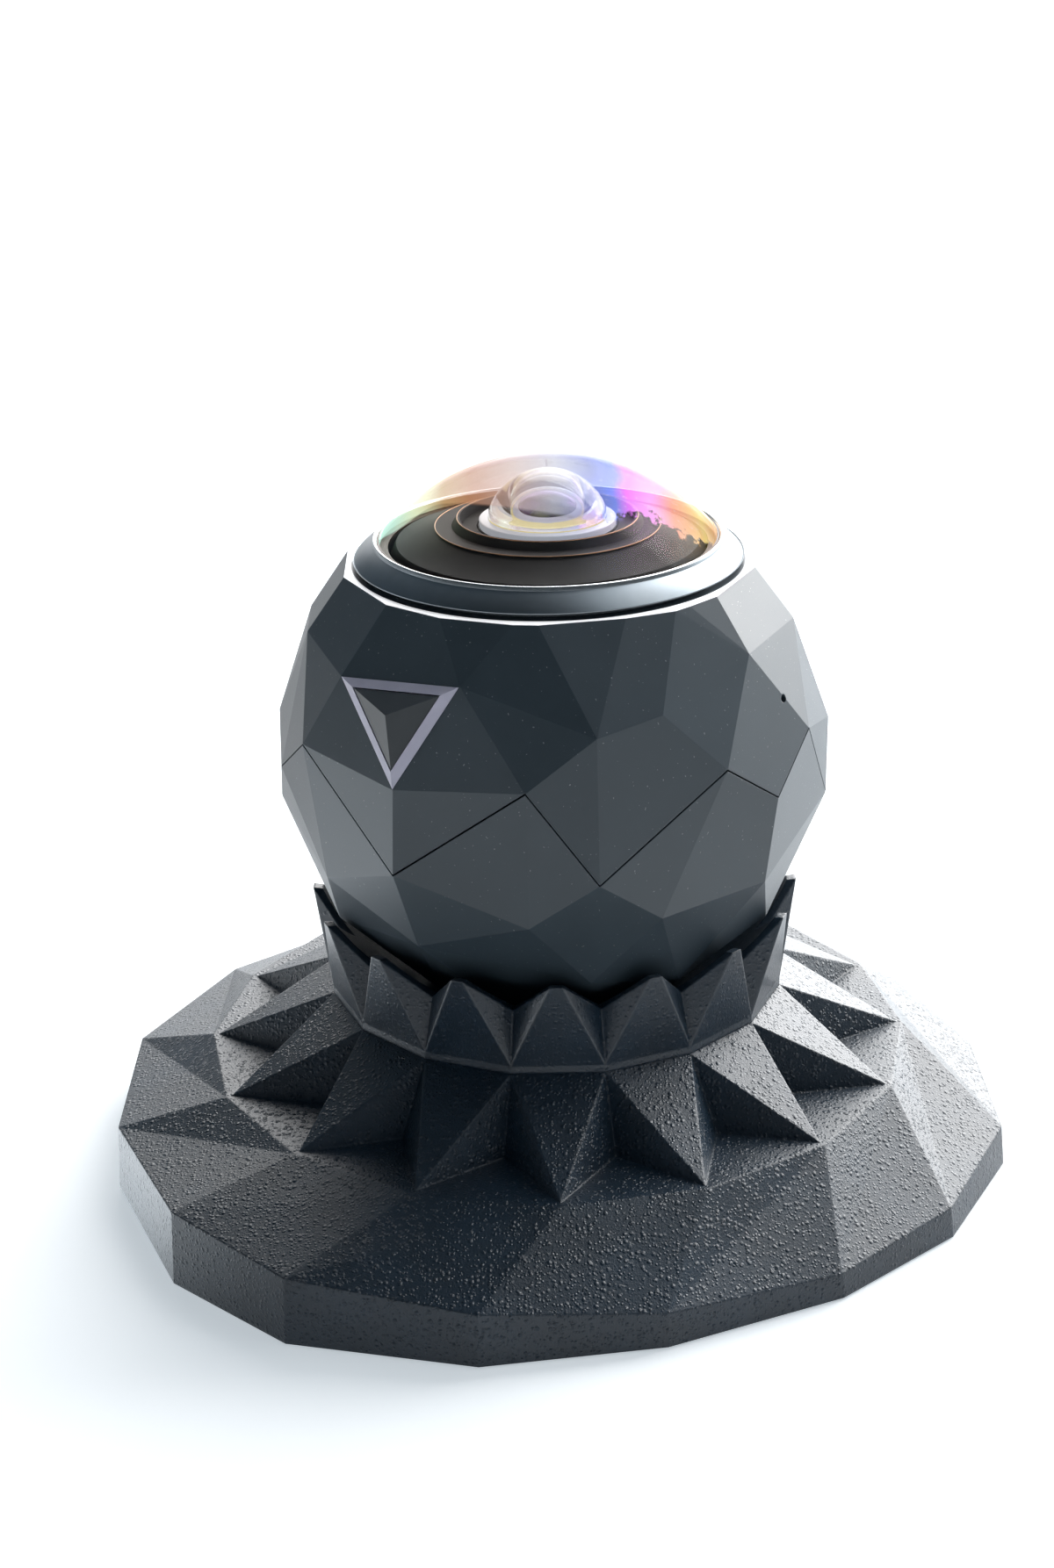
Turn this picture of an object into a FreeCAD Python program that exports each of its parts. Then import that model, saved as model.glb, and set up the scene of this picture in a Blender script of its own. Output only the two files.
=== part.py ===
import FreeCAD, Part
import math
import os
from FreeCAD import Vector

# A ball-shaped camera with many flat facets, standing loose in a spiked cradle on a low foot.
# Millimetres, +Z up. The origin is the middle of the underside, and the front faces -Y.
# A turn is in degrees round from the front towards +X, a rise in degrees above the ball's middle.

# Stand: foot disc
FOOT_CORNERS = 16
FOOT_STEP = 360 / FOOT_CORNERS
FOOT_GAP = 0.3
FOOT_RIM = (
    # turn, radius and height of each corner of the uneven rim
    (-74, 51.5, 7.8),
    (-50, 53.5, 8.8),
    (-31.5, 54, 7.8),
    (-9.5, 51.5, 6.1),
    (12.5, 49, 4.0),
    (36.5, 49, 3.0),
    (56.5, 50.5, 3.7),
    (76, 51.5, 5.0),
    (99, 50, 5.0),
    (120, 49.5, 5.0),
    (142, 50.5, 5.0),
    (165, 51, 5.5),
    (187, 51, 5.5),
    (210, 50.5, 5.5),
    (234, 50.5, 6.0),
    (259, 51, 6.6),
)
RIM_DRAFT = 0.4
SHELF_R = 39.7
SHELF_Z = 12.0

# Stand: star and crown, which share their sixteen corners
STAR_TIP_R = 39.1
STAR_ROOT_R = 30.3
STAR_SUNK = 1.5
NECK_R = 25.6
NECK_Z = 19.5
TOOTH_R = 27.2
TOOTH_Z = 30.6
TOOTH_TIP = 1.3
VALLEY_R = 23.9
VALLEY_Z = 26.2
BAND_HEIGHT = 0.9

# Stand: what holds it together and steadies it
PAD_INSET = 3.0
PAD_THICK = 1.5
BALLAST_R = 33.0
BALLAST_THICK = 5.0
CROWN_SCREWS = 3
CROWN_SCREW_RING_R = 21.3
CROWN_SCREW_R = 1.5
SCREW_HEAD_R = 2.8
SCREW_HEAD_HEIGHT = 1.8
CROWN_BITE = 3.6
PAD_EASE = 0.2

# Camera: faceted ball
BALL_R = 30.5
BALL_Z = 47.6
TOP_Z = 68.65
BOTTOM_Z = 21.1
BOWL_CLEARANCE = 0.8
WALL = 2.0
TOP_PLATE = 2.6
BOTTOM_PLATE = 2.2
PARTING_GAP = 0.2
SEAL_REACH = 1.6
SEAL_THICK = 0.8
SEAL_CLEARANCE = 0.2

# Camera: corners of half of the ball; the other half is the same, turned half round.
TOP_CORNERS = (
    # turn and radius in the top plane
    (-76.5, 22.3),
    (-48.5, 22.3),
    (-30, 22.3),
    (-9.5, 22.3),
    (-3, 22.3),
    (20.5, 22.0),
    (34.5, 22.6),
    (39.5, 22.4),
    (50.5, 22.3),
    (78.5, 22.3),
)
BOTTOM_TURNS = (-56, -20, 16, 52, 88)
CORNERS = {
    # turn, rise and distance from the ball's middle, the upper row first
    "B": (-77.7, 29.9, 30.5),
    "button_left": (-53.8, 27.1, 30.1),
    "button_right": (-20.1, 30.4, 30.6),
    "K": (8.8, 21.0, 31.3),
    "L": (23.9, 23.9, 30.3),
    "I": (53.2, 30.5, 29.7),
    "U": (81.8, 29.7, 30.4),
    # belt, where the two halves of the shell part
    "Y": (-75.8, 0.9, 30.2),
    "C": (-60.4, 11.0, 30.6),
    "D": (-33.3, -9.0, 30.6),
    "button_tip": (-32.7, 8.9, 30.4),
    "E": (-5.3, 11.0, 30.5),
    "F": (8.4, -7.2, 31.4),
    "G": (38.2, 10.1, 29.4),
    "H": (53.2, -0.1, 29.5),
    "J": (68.4, 9.7, 29.8),
    "S": (84.6, 6.2, 30.5),
    "T": (88.1, -11.8, 30.6),
    # lower rows
    "W": (-55.1, -16.3, 30.6),
    "N": (-31.8, -26.8, 30.6),
    "M": (-5.3, -17.4, 30.9),
    "O": (8.7, -37.2, 30.0),
    "P": (22.2, -17.9, 30.6),
    "Q": (51.4, -18.6, 30.1),
    "V": (-72.0, -35.0, 30.5),
    "X": (36.0, -43.0, 30.5),
    "Z": (70.0, -36.0, 30.5),
}
# Corners that are drawn out until they lie in the plane of three others, so that a facet of
# four corners is flat.
FLAT_CORNERS = {
    "button_left": ("t0", "t1", "B"),
    "button_right": ("t1", "t2", "button_left"),
    "L": ("K", "G", "F"),
    "O": ("F", "M", "P"),
    "U": ("t9", "t0'", "B'"),
    "I": ("t8", "t9", "U"),
    "H": ("I", "J", "G"),
    "Q": ("G", "H", "P"),
    "T": ("H", "J", "Q"),
}
# Each facet by its corners: t is the top ring, b the bottom ring, and ' is half a turn round.
FACETS = (
    "t0 t1 button_left B",
    "t1 t2 button_right button_left",
    "button_left button_right button_tip",
    "t2 t3 button_right",
    "t3 K button_right",
    "t3 t4 K",
    "button_right K E",
    "button_right E button_tip",
    "t4 t5 K",
    "t5 t6 K",
    "t6 L K",
    "t6 I L",
    "t6 t7 I",
    "t7 t8 I",
    "t8 t9 U I",
    "I U J",
    "L I G",
    "I J H G",
    "K L G F",
    "E K F",
    "B button_left C",
    "button_left button_tip C",
    "C button_tip D",
    "button_tip E D",
    "B C Y",
    "t9' t0 B U'",
    "U' B S'",
    "B Y S'",
    "U S J",
    "J S T",
    "S' Y T'",
    "J T Q H",
    "Y C W",
    "C D W",
    "W D N",
    "D M N",
    "D E M",
    "E F M",
    "F P O M",
    "F G P",
    "G H Q P",
    "M O N",
    "T' Y W",
    "W N V",
    "T' W V",
    "P Q X",
    "P X O",
    "Q T Z",
    "Q Z X",
    "T V' Z",
    "V N b0",
    "N b1 b0",
    "N O b1",
    "O b2 b1",
    "O X b2",
    "X b3 b2",
    "X Z b3",
    "Z b4 b3",
    "Z V' b4",
    "V' b0' b4",
)
PARTING = ("Y", "C", "D", "E", "F", "G", "H", "J", "T")

# Camera: triangular button on its own facet
BUTTON_HOLE_INSET = 0.25
BUTTON_GAP = 0.25
GUIDE_WIDTH = 1.25
GUIDE_THICK = 1.5
CAP_RISE = 2.4
BUTTON_TRAVEL = 0.6
FLANGE_REACH = 0.5
FLANGE_THICK = 0.8
FLANGE_GAP = 0.4
PLUNGER_R = 1.5
PLUNGER_LENGTH = 0.8
SWITCH_SIDE = 4.0
SWITCH_HEIGHT = 1.6
SWITCH_STEM_R = 0.9
SWITCH_STEM = 0.5
HOUSING_WALL = 0.9
BOARD_THICK = 1.0

# Camera: bezel and dome
BEZEL_R = 21.05
BEZEL_FOOT_R = 20.0
BEZEL_FOOT_HEIGHT = 0.4
BEZEL_LIP = 0.6
BEZEL_TOP_R = 18.75
BEZEL_TOP_Z = 71.25
BEZEL_SWELL = 0.15
SPIGOT_R = 19.2
SPIGOT_GAP = 0.3
SPIGOT_BORE_R = 17.2
SPIGOT_Z = 65.2
DOME_R = 18.15
DOME_Z = 71.5
DOME_RISE = 8.2
DOME_WALL = 0.9
DOME_SKIRT = 1.0
SEAL_WIDTH = 0.2

# Camera: deck, a cone with a ledge, a raised rim and a moat round the lens
DECK_GAP = 0.1
DECK_THICK = 1.0
DECK_R = 16.3
DECK_EDGE_Z = 70.9
LEDGE_R = 12.1
LEDGE_STEP = 0.25
LEDGE_Z = 72.6
RIM_FOOT_R = 10.3
RIM_R = 9.75
RIM_WALL = 0.3
RIM_Z = 73.48
MOAT_R = 9.2

# Camera: lens, from the front element down
BARREL_R = 7.5
BARREL_TOP_Z = 72.5
BARREL_BOTTOM_Z = 57.0
ELEMENT_GAP = 0.02
RING_R = 7.35
RING_Z = 73.38
FRONT_R = 6.3
FRONT_FLANGE = 0.6
FRONT_EDGE_Z = 74.2
FRONT_RISE = 4.3
FRONT_WALL = 1.1
CONE_SEAT_R = 5.7
CONE_SEAT = 1.0
CONE_R = 5.4
CONE_RISE = 1.85
CONE_TOP_R = 3.95
CONE_BORE_R = 2.8
SECOND_R = 3.4
SECOND_EDGE = 0.8
SECOND_BULGE = 1.0
SECOND_HOLLOW = 0.4
THIRD_DROP = 5.0
THIRD_R = 4.0
THIRD_SPACER = 0.8
THIRD_EDGE = 1.0
THIRD_BULGE = 1.1
THIRD_BELLY = 0.5
STOP_R = 1.1
STOP_THICK = 0.3
REAR_DROP = 3.4
REAR_R = 3.4
REAR_SPACER = 0.9
REAR_EDGE = 1.4
REAR_BULGE = 0.8
REAR_BELLY = 0.7
SPACER_WALL = 0.7

# Camera: inner frame, boards and battery
SENSOR_SIDE = 9.0
SENSOR_THICK = 1.2
HOLDER_SIDE = 15.0
HOLDER_COLLAR = 1.2
HOLDER_SLEEVE = 6.0
FILTER_THICK = 0.4
FILTER_LIFT = 0.2
CHASSIS_R = 16.9
CHASSIS_WALL = 1.5
CHASSIS_FLOOR_Z = 50.0
CHASSIS_FLOOR = 1.5
CHASSIS_FOOT_Z = 43.2
CHASSIS_FOOT = 1.5
CHASSIS_FOOT_R = 23.2
STANDOFF = 2.0
STANDOFF_R = 2.0
WINDOW_R = 4.0
WINDOW_LIFT = 7.0
SENSOR_BOARD_R = 14.0
BOARD_SCREW_INSET = 1.8
MAIN_BOARD_R = 19.0
MAIN_BOARD_THICK = 1.2
SHELL_SCREWS = 4
SHELL_SCREW_TURN = 45
SHELL_SCREW_RING_R = 21.4
SHELL_SCREW_R = 0.9
SHELL_SCREW_DEPTH = 6.0
SHELL_BOSS_R = 2.1
CAN_SIDE = 16.0
CAN_HEIGHT = 2.4
CAN_WALL = 0.5
SPREADER_R = 14.0
SPREADER_THICK = 1.0
BATTERY_LONG = 29.0
BATTERY_WIDE = 20.0
BATTERY_HIGH = 9.0
BATTERY_EDGE = 1.5
TRAY_WALL = 1.0
TRAY_LEG = 1.5

# Camera: bottom cap with its tripod thread and contacts
CAP_R = 13.4
CAP_GAP = 0.1
CAP_THICK = 1.2
CAP_NECK_R = 11.6
CAP_NECK_RISE = 0.2
CAP_SCREWS = 3
CAP_SCREW_RING_R = 10.0
CAP_SCREW_R = 0.8
CAP_SCREW_HEAD_R = 1.5
CAP_SCREW_HEAD = 0.7
SUNK = 0.1
INSERT_R = 4.4
THREAD_R = 2.6
THREAD_DEPTH = 5.5
INSERT_HEIGHT = 7.0
CONTACTS = 4
CONTACT_RING_R = 7.2
CONTACT_R = 0.8
SEAT_INNER_R = 8.5
SEAT_OUTER_R = 13.3
SEAT_CLEARANCE = 0.05

# Camera: sound hole, and small pieces on the boards
SOUND_HOLE_TURN = 62.2
SOUND_HOLE_RISE = 18.5
SOUND_HOLE_R = 0.45
MICROPHONE_R = 2.0
MICROPHONE_HEIGHT = 1.4
BOOT_WALL = 0.6
MOTOR_R = 4.0
MOTOR_THICK = 2.8
MOTOR_PLACE = (8.0, 4.0)
RADIO_SIZE = (9.0, 7.0, 1.8)
RADIO_PLACE = (-6.0, 3.0)
ANTENNA_SIZE = (12.0, 0.8, 5.0)
ANTENNA_REACH = 2.5

UP = Vector(0, 0, 1)
AXIS_FOOT = Vector(0, 0, 0)
BALL_MIDDLE = Vector(0, 0, BALL_Z)
FAR = 200.0


def polar(turn, radius, height):
    angle = math.radians(turn)
    return Vector(radius * math.sin(angle), -radius * math.cos(angle), height)


def towards(turn, rise):
    angle = math.radians(rise)
    return polar(turn, math.cos(angle), math.sin(angle))


def ring_of(count, radius, height, start=0.0):
    return [polar(start + 360 * k / count, radius, height) for k in range(count)]


def polyhedron(faces):
    """A solid from flat faces, each a list of corners."""
    flats = [Part.Face(Part.makePolygon(list(face) + [face[0]])) for face in faces]
    shell = Part.makeShell(flats)
    shell.sewShape()
    solid = Part.makeSolid(shell)
    if solid.Volume < 0:
        solid.reverse()
    return solid


def fan(loop, middle):
    return [(loop[k - 1], loop[k], middle) for k in range(len(loop))]


def band(lower, upper):
    return [(lower[k - 1], lower[k], upper[k], upper[k - 1]) for k in range(len(lower))]


def turned(start, *steps):
    """A solid of revolution about the axis. A step is (r, z), or a pair of those for an arc."""
    here = Vector(start[0], 0, start[1])
    first = here
    edges = []
    for step in steps:
        if isinstance(step[0], tuple):
            middle, end = [Vector(r, 0, z) for r, z in step]
            edges.append(Part.Arc(here, middle, end).toShape())
        else:
            end = Vector(step[0], 0, step[1])
            edges.append(Part.LineSegment(here, end).toShape())
        here = end
    if here.distanceToPoint(first) > 1e-6:
        edges.append(Part.LineSegment(here, first).toShape())
    return Part.Face(Part.Wire(edges)).revolve(AXIS_FOOT, UP, 360)


def washer(outer, inner, low, high):
    return turned((inner, low), (outer, low), (outer, high), (inner, high))


def disc(radius, low, high, at=AXIS_FOOT):
    return Part.makeCylinder(radius, high - low, Vector(at.x, at.y, low))


def block(long, wide, low, high, at=AXIS_FOOT):
    corner = Vector(at.x - long / 2, at.y - wide / 2, low)
    return Part.makeBox(long, wide, high - low, corner)


def cap_height(ball_r, r):
    return math.sqrt(ball_r ** 2 - r ** 2)


def cap_radius(rim_r, rise):
    return (rim_r ** 2 + rise ** 2) / (2 * rise)


def save(name, shape):
    shape.exportStep("parts/" + name + ".step")


# Faceted ball

def gem_corners():
    points = {}
    for k, (turn, radius) in enumerate(TOP_CORNERS):
        points["t%d" % k] = polar(turn, radius, TOP_Z)
    bottom_r = cap_height(BALL_R, BALL_Z - BOTTOM_Z)
    for k, turn in enumerate(BOTTOM_TURNS):
        points["b%d" % k] = polar(turn, bottom_r, BOTTOM_Z)
    for name, (turn, rise, reach) in CORNERS.items():
        points[name] = BALL_MIDDLE + towards(turn, rise) * reach
    add_opposites(points)
    for name, plane in FLAT_CORNERS.items():
        a, b, c = [points[corner] for corner in plane]
        normal = (b - a).cross(c - a)
        turn, rise = CORNERS[name][:2]
        way = towards(turn, rise)
        reach = (a - BALL_MIDDLE).dot(normal) / way.dot(normal)
        points[name] = BALL_MIDDLE + way * reach
        add_opposites(points)
    return points


def add_opposites(points):
    for name in [corner for corner in points if not corner.endswith("'")]:
        point = points[name]
        points[name + "'"] = Vector(-point.x, -point.y, point.z)


def opposite(name):
    return name[:-1] if name.endswith("'") else name + "'"


def gem(points, scale=1.0):
    """The whole ball, or a smaller one inside it with the same facets."""
    drawn = {name: BALL_MIDDLE + (point - BALL_MIDDLE) * scale for name, point in points.items()}
    names = [facet.split() for facet in FACETS]
    names += [[opposite(name) for name in facet] for facet in names]
    faces = [[drawn[name] for name in facet] for facet in names]
    for ring, count in (("t%d", len(TOP_CORNERS)), ("b%d", len(BOTTOM_TURNS))):
        half = [ring % k for k in range(count)]
        faces.append([drawn[name] for name in half + [opposite(name) for name in half]])
    return polyhedron(faces)


def below_parting(points, shift):
    """All that lies under the zigzag, as a fan from the ball's middle through its corners."""
    loop = list(PARTING) + [opposite(name) for name in PARTING]
    lift = UP * shift
    edge = [BALL_MIDDLE + (points[name] - BALL_MIDDLE) * 1.5 + lift for name in loop]
    foot = [Vector(point.x, point.y, -BALL_Z) for point in edge]
    return polyhedron(fan(edge, BALL_MIDDLE + lift) + band(foot, edge) + [foot])


def slab(low, high):
    return block(FAR, FAR, low, high)


# Stand

def foot_loops():
    low = [polar(turn, radius, FOOT_GAP) for turn, radius, height in FOOT_RIM]
    high = [polar(turn, radius - RIM_DRAFT, height) for turn, radius, height in FOOT_RIM]
    shelf = ring_of(FOOT_CORNERS, SHELF_R, SHELF_Z, -3 * FOOT_STEP)
    return low, high, shelf


def make_foot():
    low, high, shelf = foot_loops()
    slopes = []
    for k in range(FOOT_CORNERS):
        slopes.append((high[k - 1], high[k], shelf[k]))
        slopes.append((high[k - 1], shelf[k], shelf[k - 1]))
    sides = []
    for k in range(FOOT_CORNERS):
        sides.append((low[k - 1], low[k], high[k]))
        sides.append((low[k - 1], high[k], high[k - 1]))
    return polyhedron([low, shelf] + slopes + sides).fuse(make_star()).removeSplitter()


def make_star():
    tips = ring_of(FOOT_CORNERS, STAR_TIP_R, SHELF_Z)
    roots = ring_of(FOOT_CORNERS, STAR_ROOT_R, SHELF_Z, FOOT_STEP / 2)
    necks = ring_of(FOOT_CORNERS, NECK_R, NECK_Z, FOOT_STEP / 2)
    outline = [point for pair in zip(tips, roots) for point in pair]
    sunk = [point - UP * STAR_SUNK for point in outline]
    spikes = []
    for k in range(FOOT_CORNERS):
        spikes.append((necks[k - 1], necks[k], tips[k]))
        spikes.append((necks[k], roots[k], tips[k]))
        spikes.append((necks[k - 1], roots[k - 1], tips[k]))
    return polyhedron(spikes + [necks, sunk] + band(sunk, outline))


def crown_screw_places():
    return ring_of(CROWN_SCREWS, CROWN_SCREW_RING_R, 0)


def pad_top():
    return PAD_THICK


def ballast_top():
    return pad_top() + BALLAST_THICK


def finish_foot(foot):
    pocket = pad_outline(0, pad_top())
    foot = foot.cut(pocket).cut(disc(BALLAST_R + FOOT_GAP, 0, ballast_top()))
    for place in crown_screw_places():
        foot = foot.cut(disc(CROWN_SCREW_R, 0, NECK_Z, place))
    return foot


def pad_outline(low, high, shrink=0.0):
    loop = [polar(turn, radius - PAD_INSET - shrink, low) for turn, radius, height in FOOT_RIM]
    return Part.Face(Part.makePolygon(loop + [loop[0]])).extrude(UP * (high - low))


def make_ballast():
    plate = disc(BALLAST_R, pad_top(), ballast_top())
    for place in crown_screw_places():
        plate = plate.cut(disc(CROWN_SCREW_R, pad_top(), ballast_top(), place))
        plate = plate.cut(disc(SCREW_HEAD_R, pad_top(), pad_top() + SCREW_HEAD_HEIGHT, place))
    return plate


def make_crown_screws():
    screws = []
    for place in crown_screw_places():
        neck = pad_top() + SCREW_HEAD_HEIGHT
        head = disc(SCREW_HEAD_R, pad_top(), neck, place)
        screws.append(head.fuse(disc(CROWN_SCREW_R, neck, NECK_Z + CROWN_BITE, place)))
    return Part.makeCompound(screws)


def bowl_r():
    return BALL_R + BOWL_CLEARANCE


def make_crown():
    start = FOOT_STEP / 2
    foot = ring_of(FOOT_CORNERS, NECK_R, NECK_Z, start)
    collar = ring_of(FOOT_CORNERS, NECK_R, NECK_Z + BAND_HEIGHT, start)
    half_tip = math.degrees(TOOTH_TIP / 2 / TOOTH_R)
    left = ring_of(FOOT_CORNERS, TOOTH_R, TOOTH_Z, -half_tip)
    right = ring_of(FOOT_CORNERS, TOOTH_R, TOOTH_Z, half_tip)
    valleys = ring_of(FOOT_CORNERS, VALLEY_R, VALLEY_Z, start)
    middle = Vector(0, 0, VALLEY_Z)
    faces = [foot] + band(foot, collar)
    for k in range(FOOT_CORNERS):
        faces.append((collar[k - 1], collar[k], right[k], left[k]))
        faces.append((collar[k], valleys[k], right[k]))
        faces.append((collar[k - 1], valleys[k - 1], left[k]))
        faces.append((valleys[k], right[k], middle))
        faces.append((valleys[k - 1], left[k], middle))
        faces.append((left[k], right[k], middle))
    crown = polyhedron(faces).cut(Part.makeSphere(bowl_r(), BALL_MIDDLE))
    crown = crown.cut(disc(SEAT_OUTER_R + CAP_GAP, NECK_Z, VALLEY_Z))
    for place in crown_screw_places():
        crown = crown.cut(disc(CROWN_SCREW_R, NECK_Z, NECK_Z + CROWN_BITE, place))
    return crown


def make_seat():
    return washer(SEAT_OUTER_R, SEAT_INNER_R, NECK_Z, BOTTOM_Z - SEAT_CLEARANCE)


# Camera shell

def shell_scale():
    return 1 - WALL / BALL_R


def cavity(points):
    return gem(points, shell_scale()).common(slab(BOTTOM_Z + BOTTOM_PLATE, TOP_Z - TOP_PLATE))


def make_upper_shell(points, hollow):
    walls = gem(points).cut(hollow).cut(below_parting(points, PARTING_GAP / 2))
    walls = walls.cut(disc(SPIGOT_R + SPIGOT_GAP, SPIGOT_Z, TOP_Z))
    walls = walls.cut(button_prism(points, BUTTON_HOLE_INSET, -1, WALL + 1))
    mouth, normal = sound_hole(points)
    return walls.cut(Part.makeCylinder(SOUND_HOLE_R, WALL + 1, mouth, normal * -1))


def shell_screw_places():
    return ring_of(SHELL_SCREWS, SHELL_SCREW_RING_R, 0, SHELL_SCREW_TURN)


def main_board_low():
    return CHASSIS_FOOT_Z - MAIN_BOARD_THICK


def make_lower_shell(points, hollow):
    walls = gem(points).cut(hollow).common(below_parting(points, -PARTING_GAP / 2))
    inside = gem(points, (1 + shell_scale()) / 2).common(below_parting(points, -PARTING_GAP / 2))
    for place in shell_screw_places():
        post = disc(SHELL_BOSS_R, BOTTOM_Z + BOTTOM_PLATE, CHASSIS_FOOT_Z, place)
        walls = walls.fuse(post.common(inside))
        walls = walls.cut(disc(SHELL_SCREW_R, CHASSIS_FOOT_Z - SHELL_SCREW_DEPTH, FAR, place))
    walls = walls.cut(disc(CAP_R + CAP_GAP, BOTTOM_Z, BOTTOM_Z + CAP_THICK))
    walls = walls.cut(disc(CAP_NECK_R + CAP_GAP, BOTTOM_Z, BOTTOM_Z + BOTTOM_PLATE))
    return walls


def make_parting_seal(points, hollow):
    inner = gem(points, shell_scale() - SEAL_THICK / BALL_R)
    strip = below_parting(points, SEAL_REACH).cut(below_parting(points, -SEAL_REACH))
    mouth, normal = sound_hole(points)
    notch = Part.makeCylinder(MICROPHONE_R + BOOT_WALL + CAP_GAP, 2 * WALL, mouth, normal * -1)
    low = CHASSIS_FOOT_Z - SEAL_CLEARANCE
    high = CHASSIS_FOOT_Z + CHASSIS_FOOT + SEAL_CLEARANCE
    room = disc(CHASSIS_FOOT_R + SEAL_CLEARANCE, low, high)
    return hollow.cut(inner).common(strip).cut(notch).cut(room)


# Button

def button_triangle(points, inset):
    """The button facet's corners, drawn in by an inset, and its outward normal."""
    a, b, c = [points[name] for name in ("button_left", "button_right", "button_tip")]
    normal = (b - a).cross(c - a)
    normal.normalize()
    if normal.dot(a - BALL_MIDDLE) < 0:
        normal = normal * -1
    sides = [(b - c).Length, (c - a).Length, (a - b).Length]
    heart = (a * sides[0] + b * sides[1] + c * sides[2]) * (1 / sum(sides))
    half = sum(sides) / 2
    inradius = math.sqrt(half * (half - sides[0]) * (half - sides[1]) * (half - sides[2])) / half
    share = 1 - inset / inradius
    return [heart + (corner - heart) * share for corner in (a, b, c)], normal


def button_prism(points, inset, low, high):
    """A prism on the button facet, from one depth under it to another."""
    corners, normal = button_triangle(points, inset)
    top = [corner - normal * low for corner in corners]
    return Part.Face(Part.makePolygon(top + [top[0]])).extrude(normal * (low - high))


def button_inset():
    return BUTTON_HOLE_INSET + BUTTON_GAP


def make_light_guide(points):
    rim = button_prism(points, button_inset(), 0, GUIDE_THICK)
    return rim.cut(button_prism(points, button_inset() + GUIDE_WIDTH, 0, GUIDE_THICK))


def cap_axis(points):
    corners, normal = button_triangle(points, button_inset() + GUIDE_WIDTH)
    heart = (corners[0] + corners[1] + corners[2]) * (1 / 3)
    return heart, normal


def flange_depth():
    return WALL + FLANGE_GAP


def switch_low():
    return flange_depth() + FLANGE_THICK + BUTTON_TRAVEL + PLUNGER_LENGTH


def make_button_cap(points):
    corners = button_triangle(points, button_inset() + GUIDE_WIDTH)[0]
    heart, normal = cap_axis(points)
    peak = heart + normal * CAP_RISE
    pyramid = polyhedron([corners] + fan(corners, peak))
    stem = button_prism(points, button_inset() + GUIDE_WIDTH, 0, GUIDE_THICK)
    plate = button_prism(points, button_inset(), GUIDE_THICK, flange_depth())
    flange = button_prism(points, button_inset() - FLANGE_REACH - BUTTON_GAP,
                          flange_depth(), flange_depth() + FLANGE_THICK)
    plunger_top = heart - normal * (flange_depth() + FLANGE_THICK)
    plunger = Part.makeCylinder(PLUNGER_R, PLUNGER_LENGTH, plunger_top, normal * -1)
    return pyramid.fuse([stem, plate, flange, plunger]).removeSplitter()


def make_button_housing(points, hollow):
    inset = button_inset() - FLANGE_REACH - 2 * BUTTON_GAP
    outside = button_prism(points, inset - HOUSING_WALL, 0, switch_low() + SWITCH_HEIGHT + SWITCH_STEM)
    inside = button_prism(points, inset, 0, FAR)
    return outside.cut(inside).common(hollow)


def board_depth():
    return switch_low() + SWITCH_HEIGHT + SWITCH_STEM


def make_button_board(points):
    inset = button_inset() - FLANGE_REACH - 2 * BUTTON_GAP - HOUSING_WALL
    return button_prism(points, inset, board_depth(), board_depth() + BOARD_THICK)


def make_button_switch(points):
    heart, normal = cap_axis(points)
    board = heart - normal * board_depth()
    across = UP.cross(normal)
    across.normalize()
    along = normal.cross(across)
    half = SWITCH_SIDE / 2
    corners = [board + across * x + along * y for x, y in ((-half, -half), (half, -half), (half, half), (-half, half))]
    body = Part.Face(Part.makePolygon(corners + [corners[0]])).extrude(normal * SWITCH_HEIGHT)
    stem = Part.makeCylinder(SWITCH_STEM_R, SWITCH_STEM, board + normal * SWITCH_HEIGHT, normal)
    return body.fuse(stem)


# Bezel, dome and deck

def make_bezel():
    low_z = TOP_Z + BEZEL_LIP
    middle = Vector(BEZEL_R + BEZEL_TOP_R, 0, low_z + BEZEL_TOP_Z) * 0.5
    slope_mid = (middle.x + BEZEL_SWELL * math.sqrt(0.5), middle.z + BEZEL_SWELL * math.sqrt(0.5))
    groove_r = DOME_R + SEAL_WIDTH
    return turned(
        (SPIGOT_BORE_R, SPIGOT_Z),
        (SPIGOT_R, SPIGOT_Z),
        (SPIGOT_R, TOP_Z),
        (BEZEL_FOOT_R, TOP_Z),
        (BEZEL_FOOT_R, TOP_Z + BEZEL_FOOT_HEIGHT),
        (BEZEL_R, low_z),
        (slope_mid, (BEZEL_TOP_R, BEZEL_TOP_Z)),
        (groove_r, DOME_Z),
        (groove_r, dome_foot() - SEAL_WIDTH),
        (SPIGOT_BORE_R, dome_foot() - SEAL_WIDTH),
    )


def dome_foot():
    return DOME_Z - DOME_SKIRT


def dome_middle():
    return DOME_Z + DOME_RISE - cap_radius(DOME_R, DOME_RISE)


def make_dome():
    outer = cap_radius(DOME_R, DOME_RISE)
    inner = outer - DOME_WALL
    middle = dome_middle()
    skirt_z = dome_foot()
    skirt_r = cap_height(inner, skirt_z - middle)
    half_out = DOME_R / 2
    half_in = skirt_r / 2
    return turned(
        (skirt_r, skirt_z),
        (DOME_R, skirt_z),
        (DOME_R, DOME_Z),
        ((half_out, middle + cap_height(outer, half_out)), (0, middle + outer)),
        (0, middle + inner),
        ((half_in, middle + cap_height(inner, half_in)), (skirt_r, skirt_z)),
    )


def make_dome_seal():
    low = dome_foot() - SEAL_WIDTH
    groove_r = DOME_R + SEAL_WIDTH
    return turned(
        (SPIGOT_BORE_R, low),
        (groove_r, low),
        (groove_r, DOME_Z - SEAL_WIDTH),
        (DOME_R, DOME_Z - SEAL_WIDTH),
        (DOME_R, dome_foot()),
        (SPIGOT_BORE_R, dome_foot()),
    )


def deck_flange_low():
    return dome_foot() - SEAL_WIDTH - 2 * DECK_THICK


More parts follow.
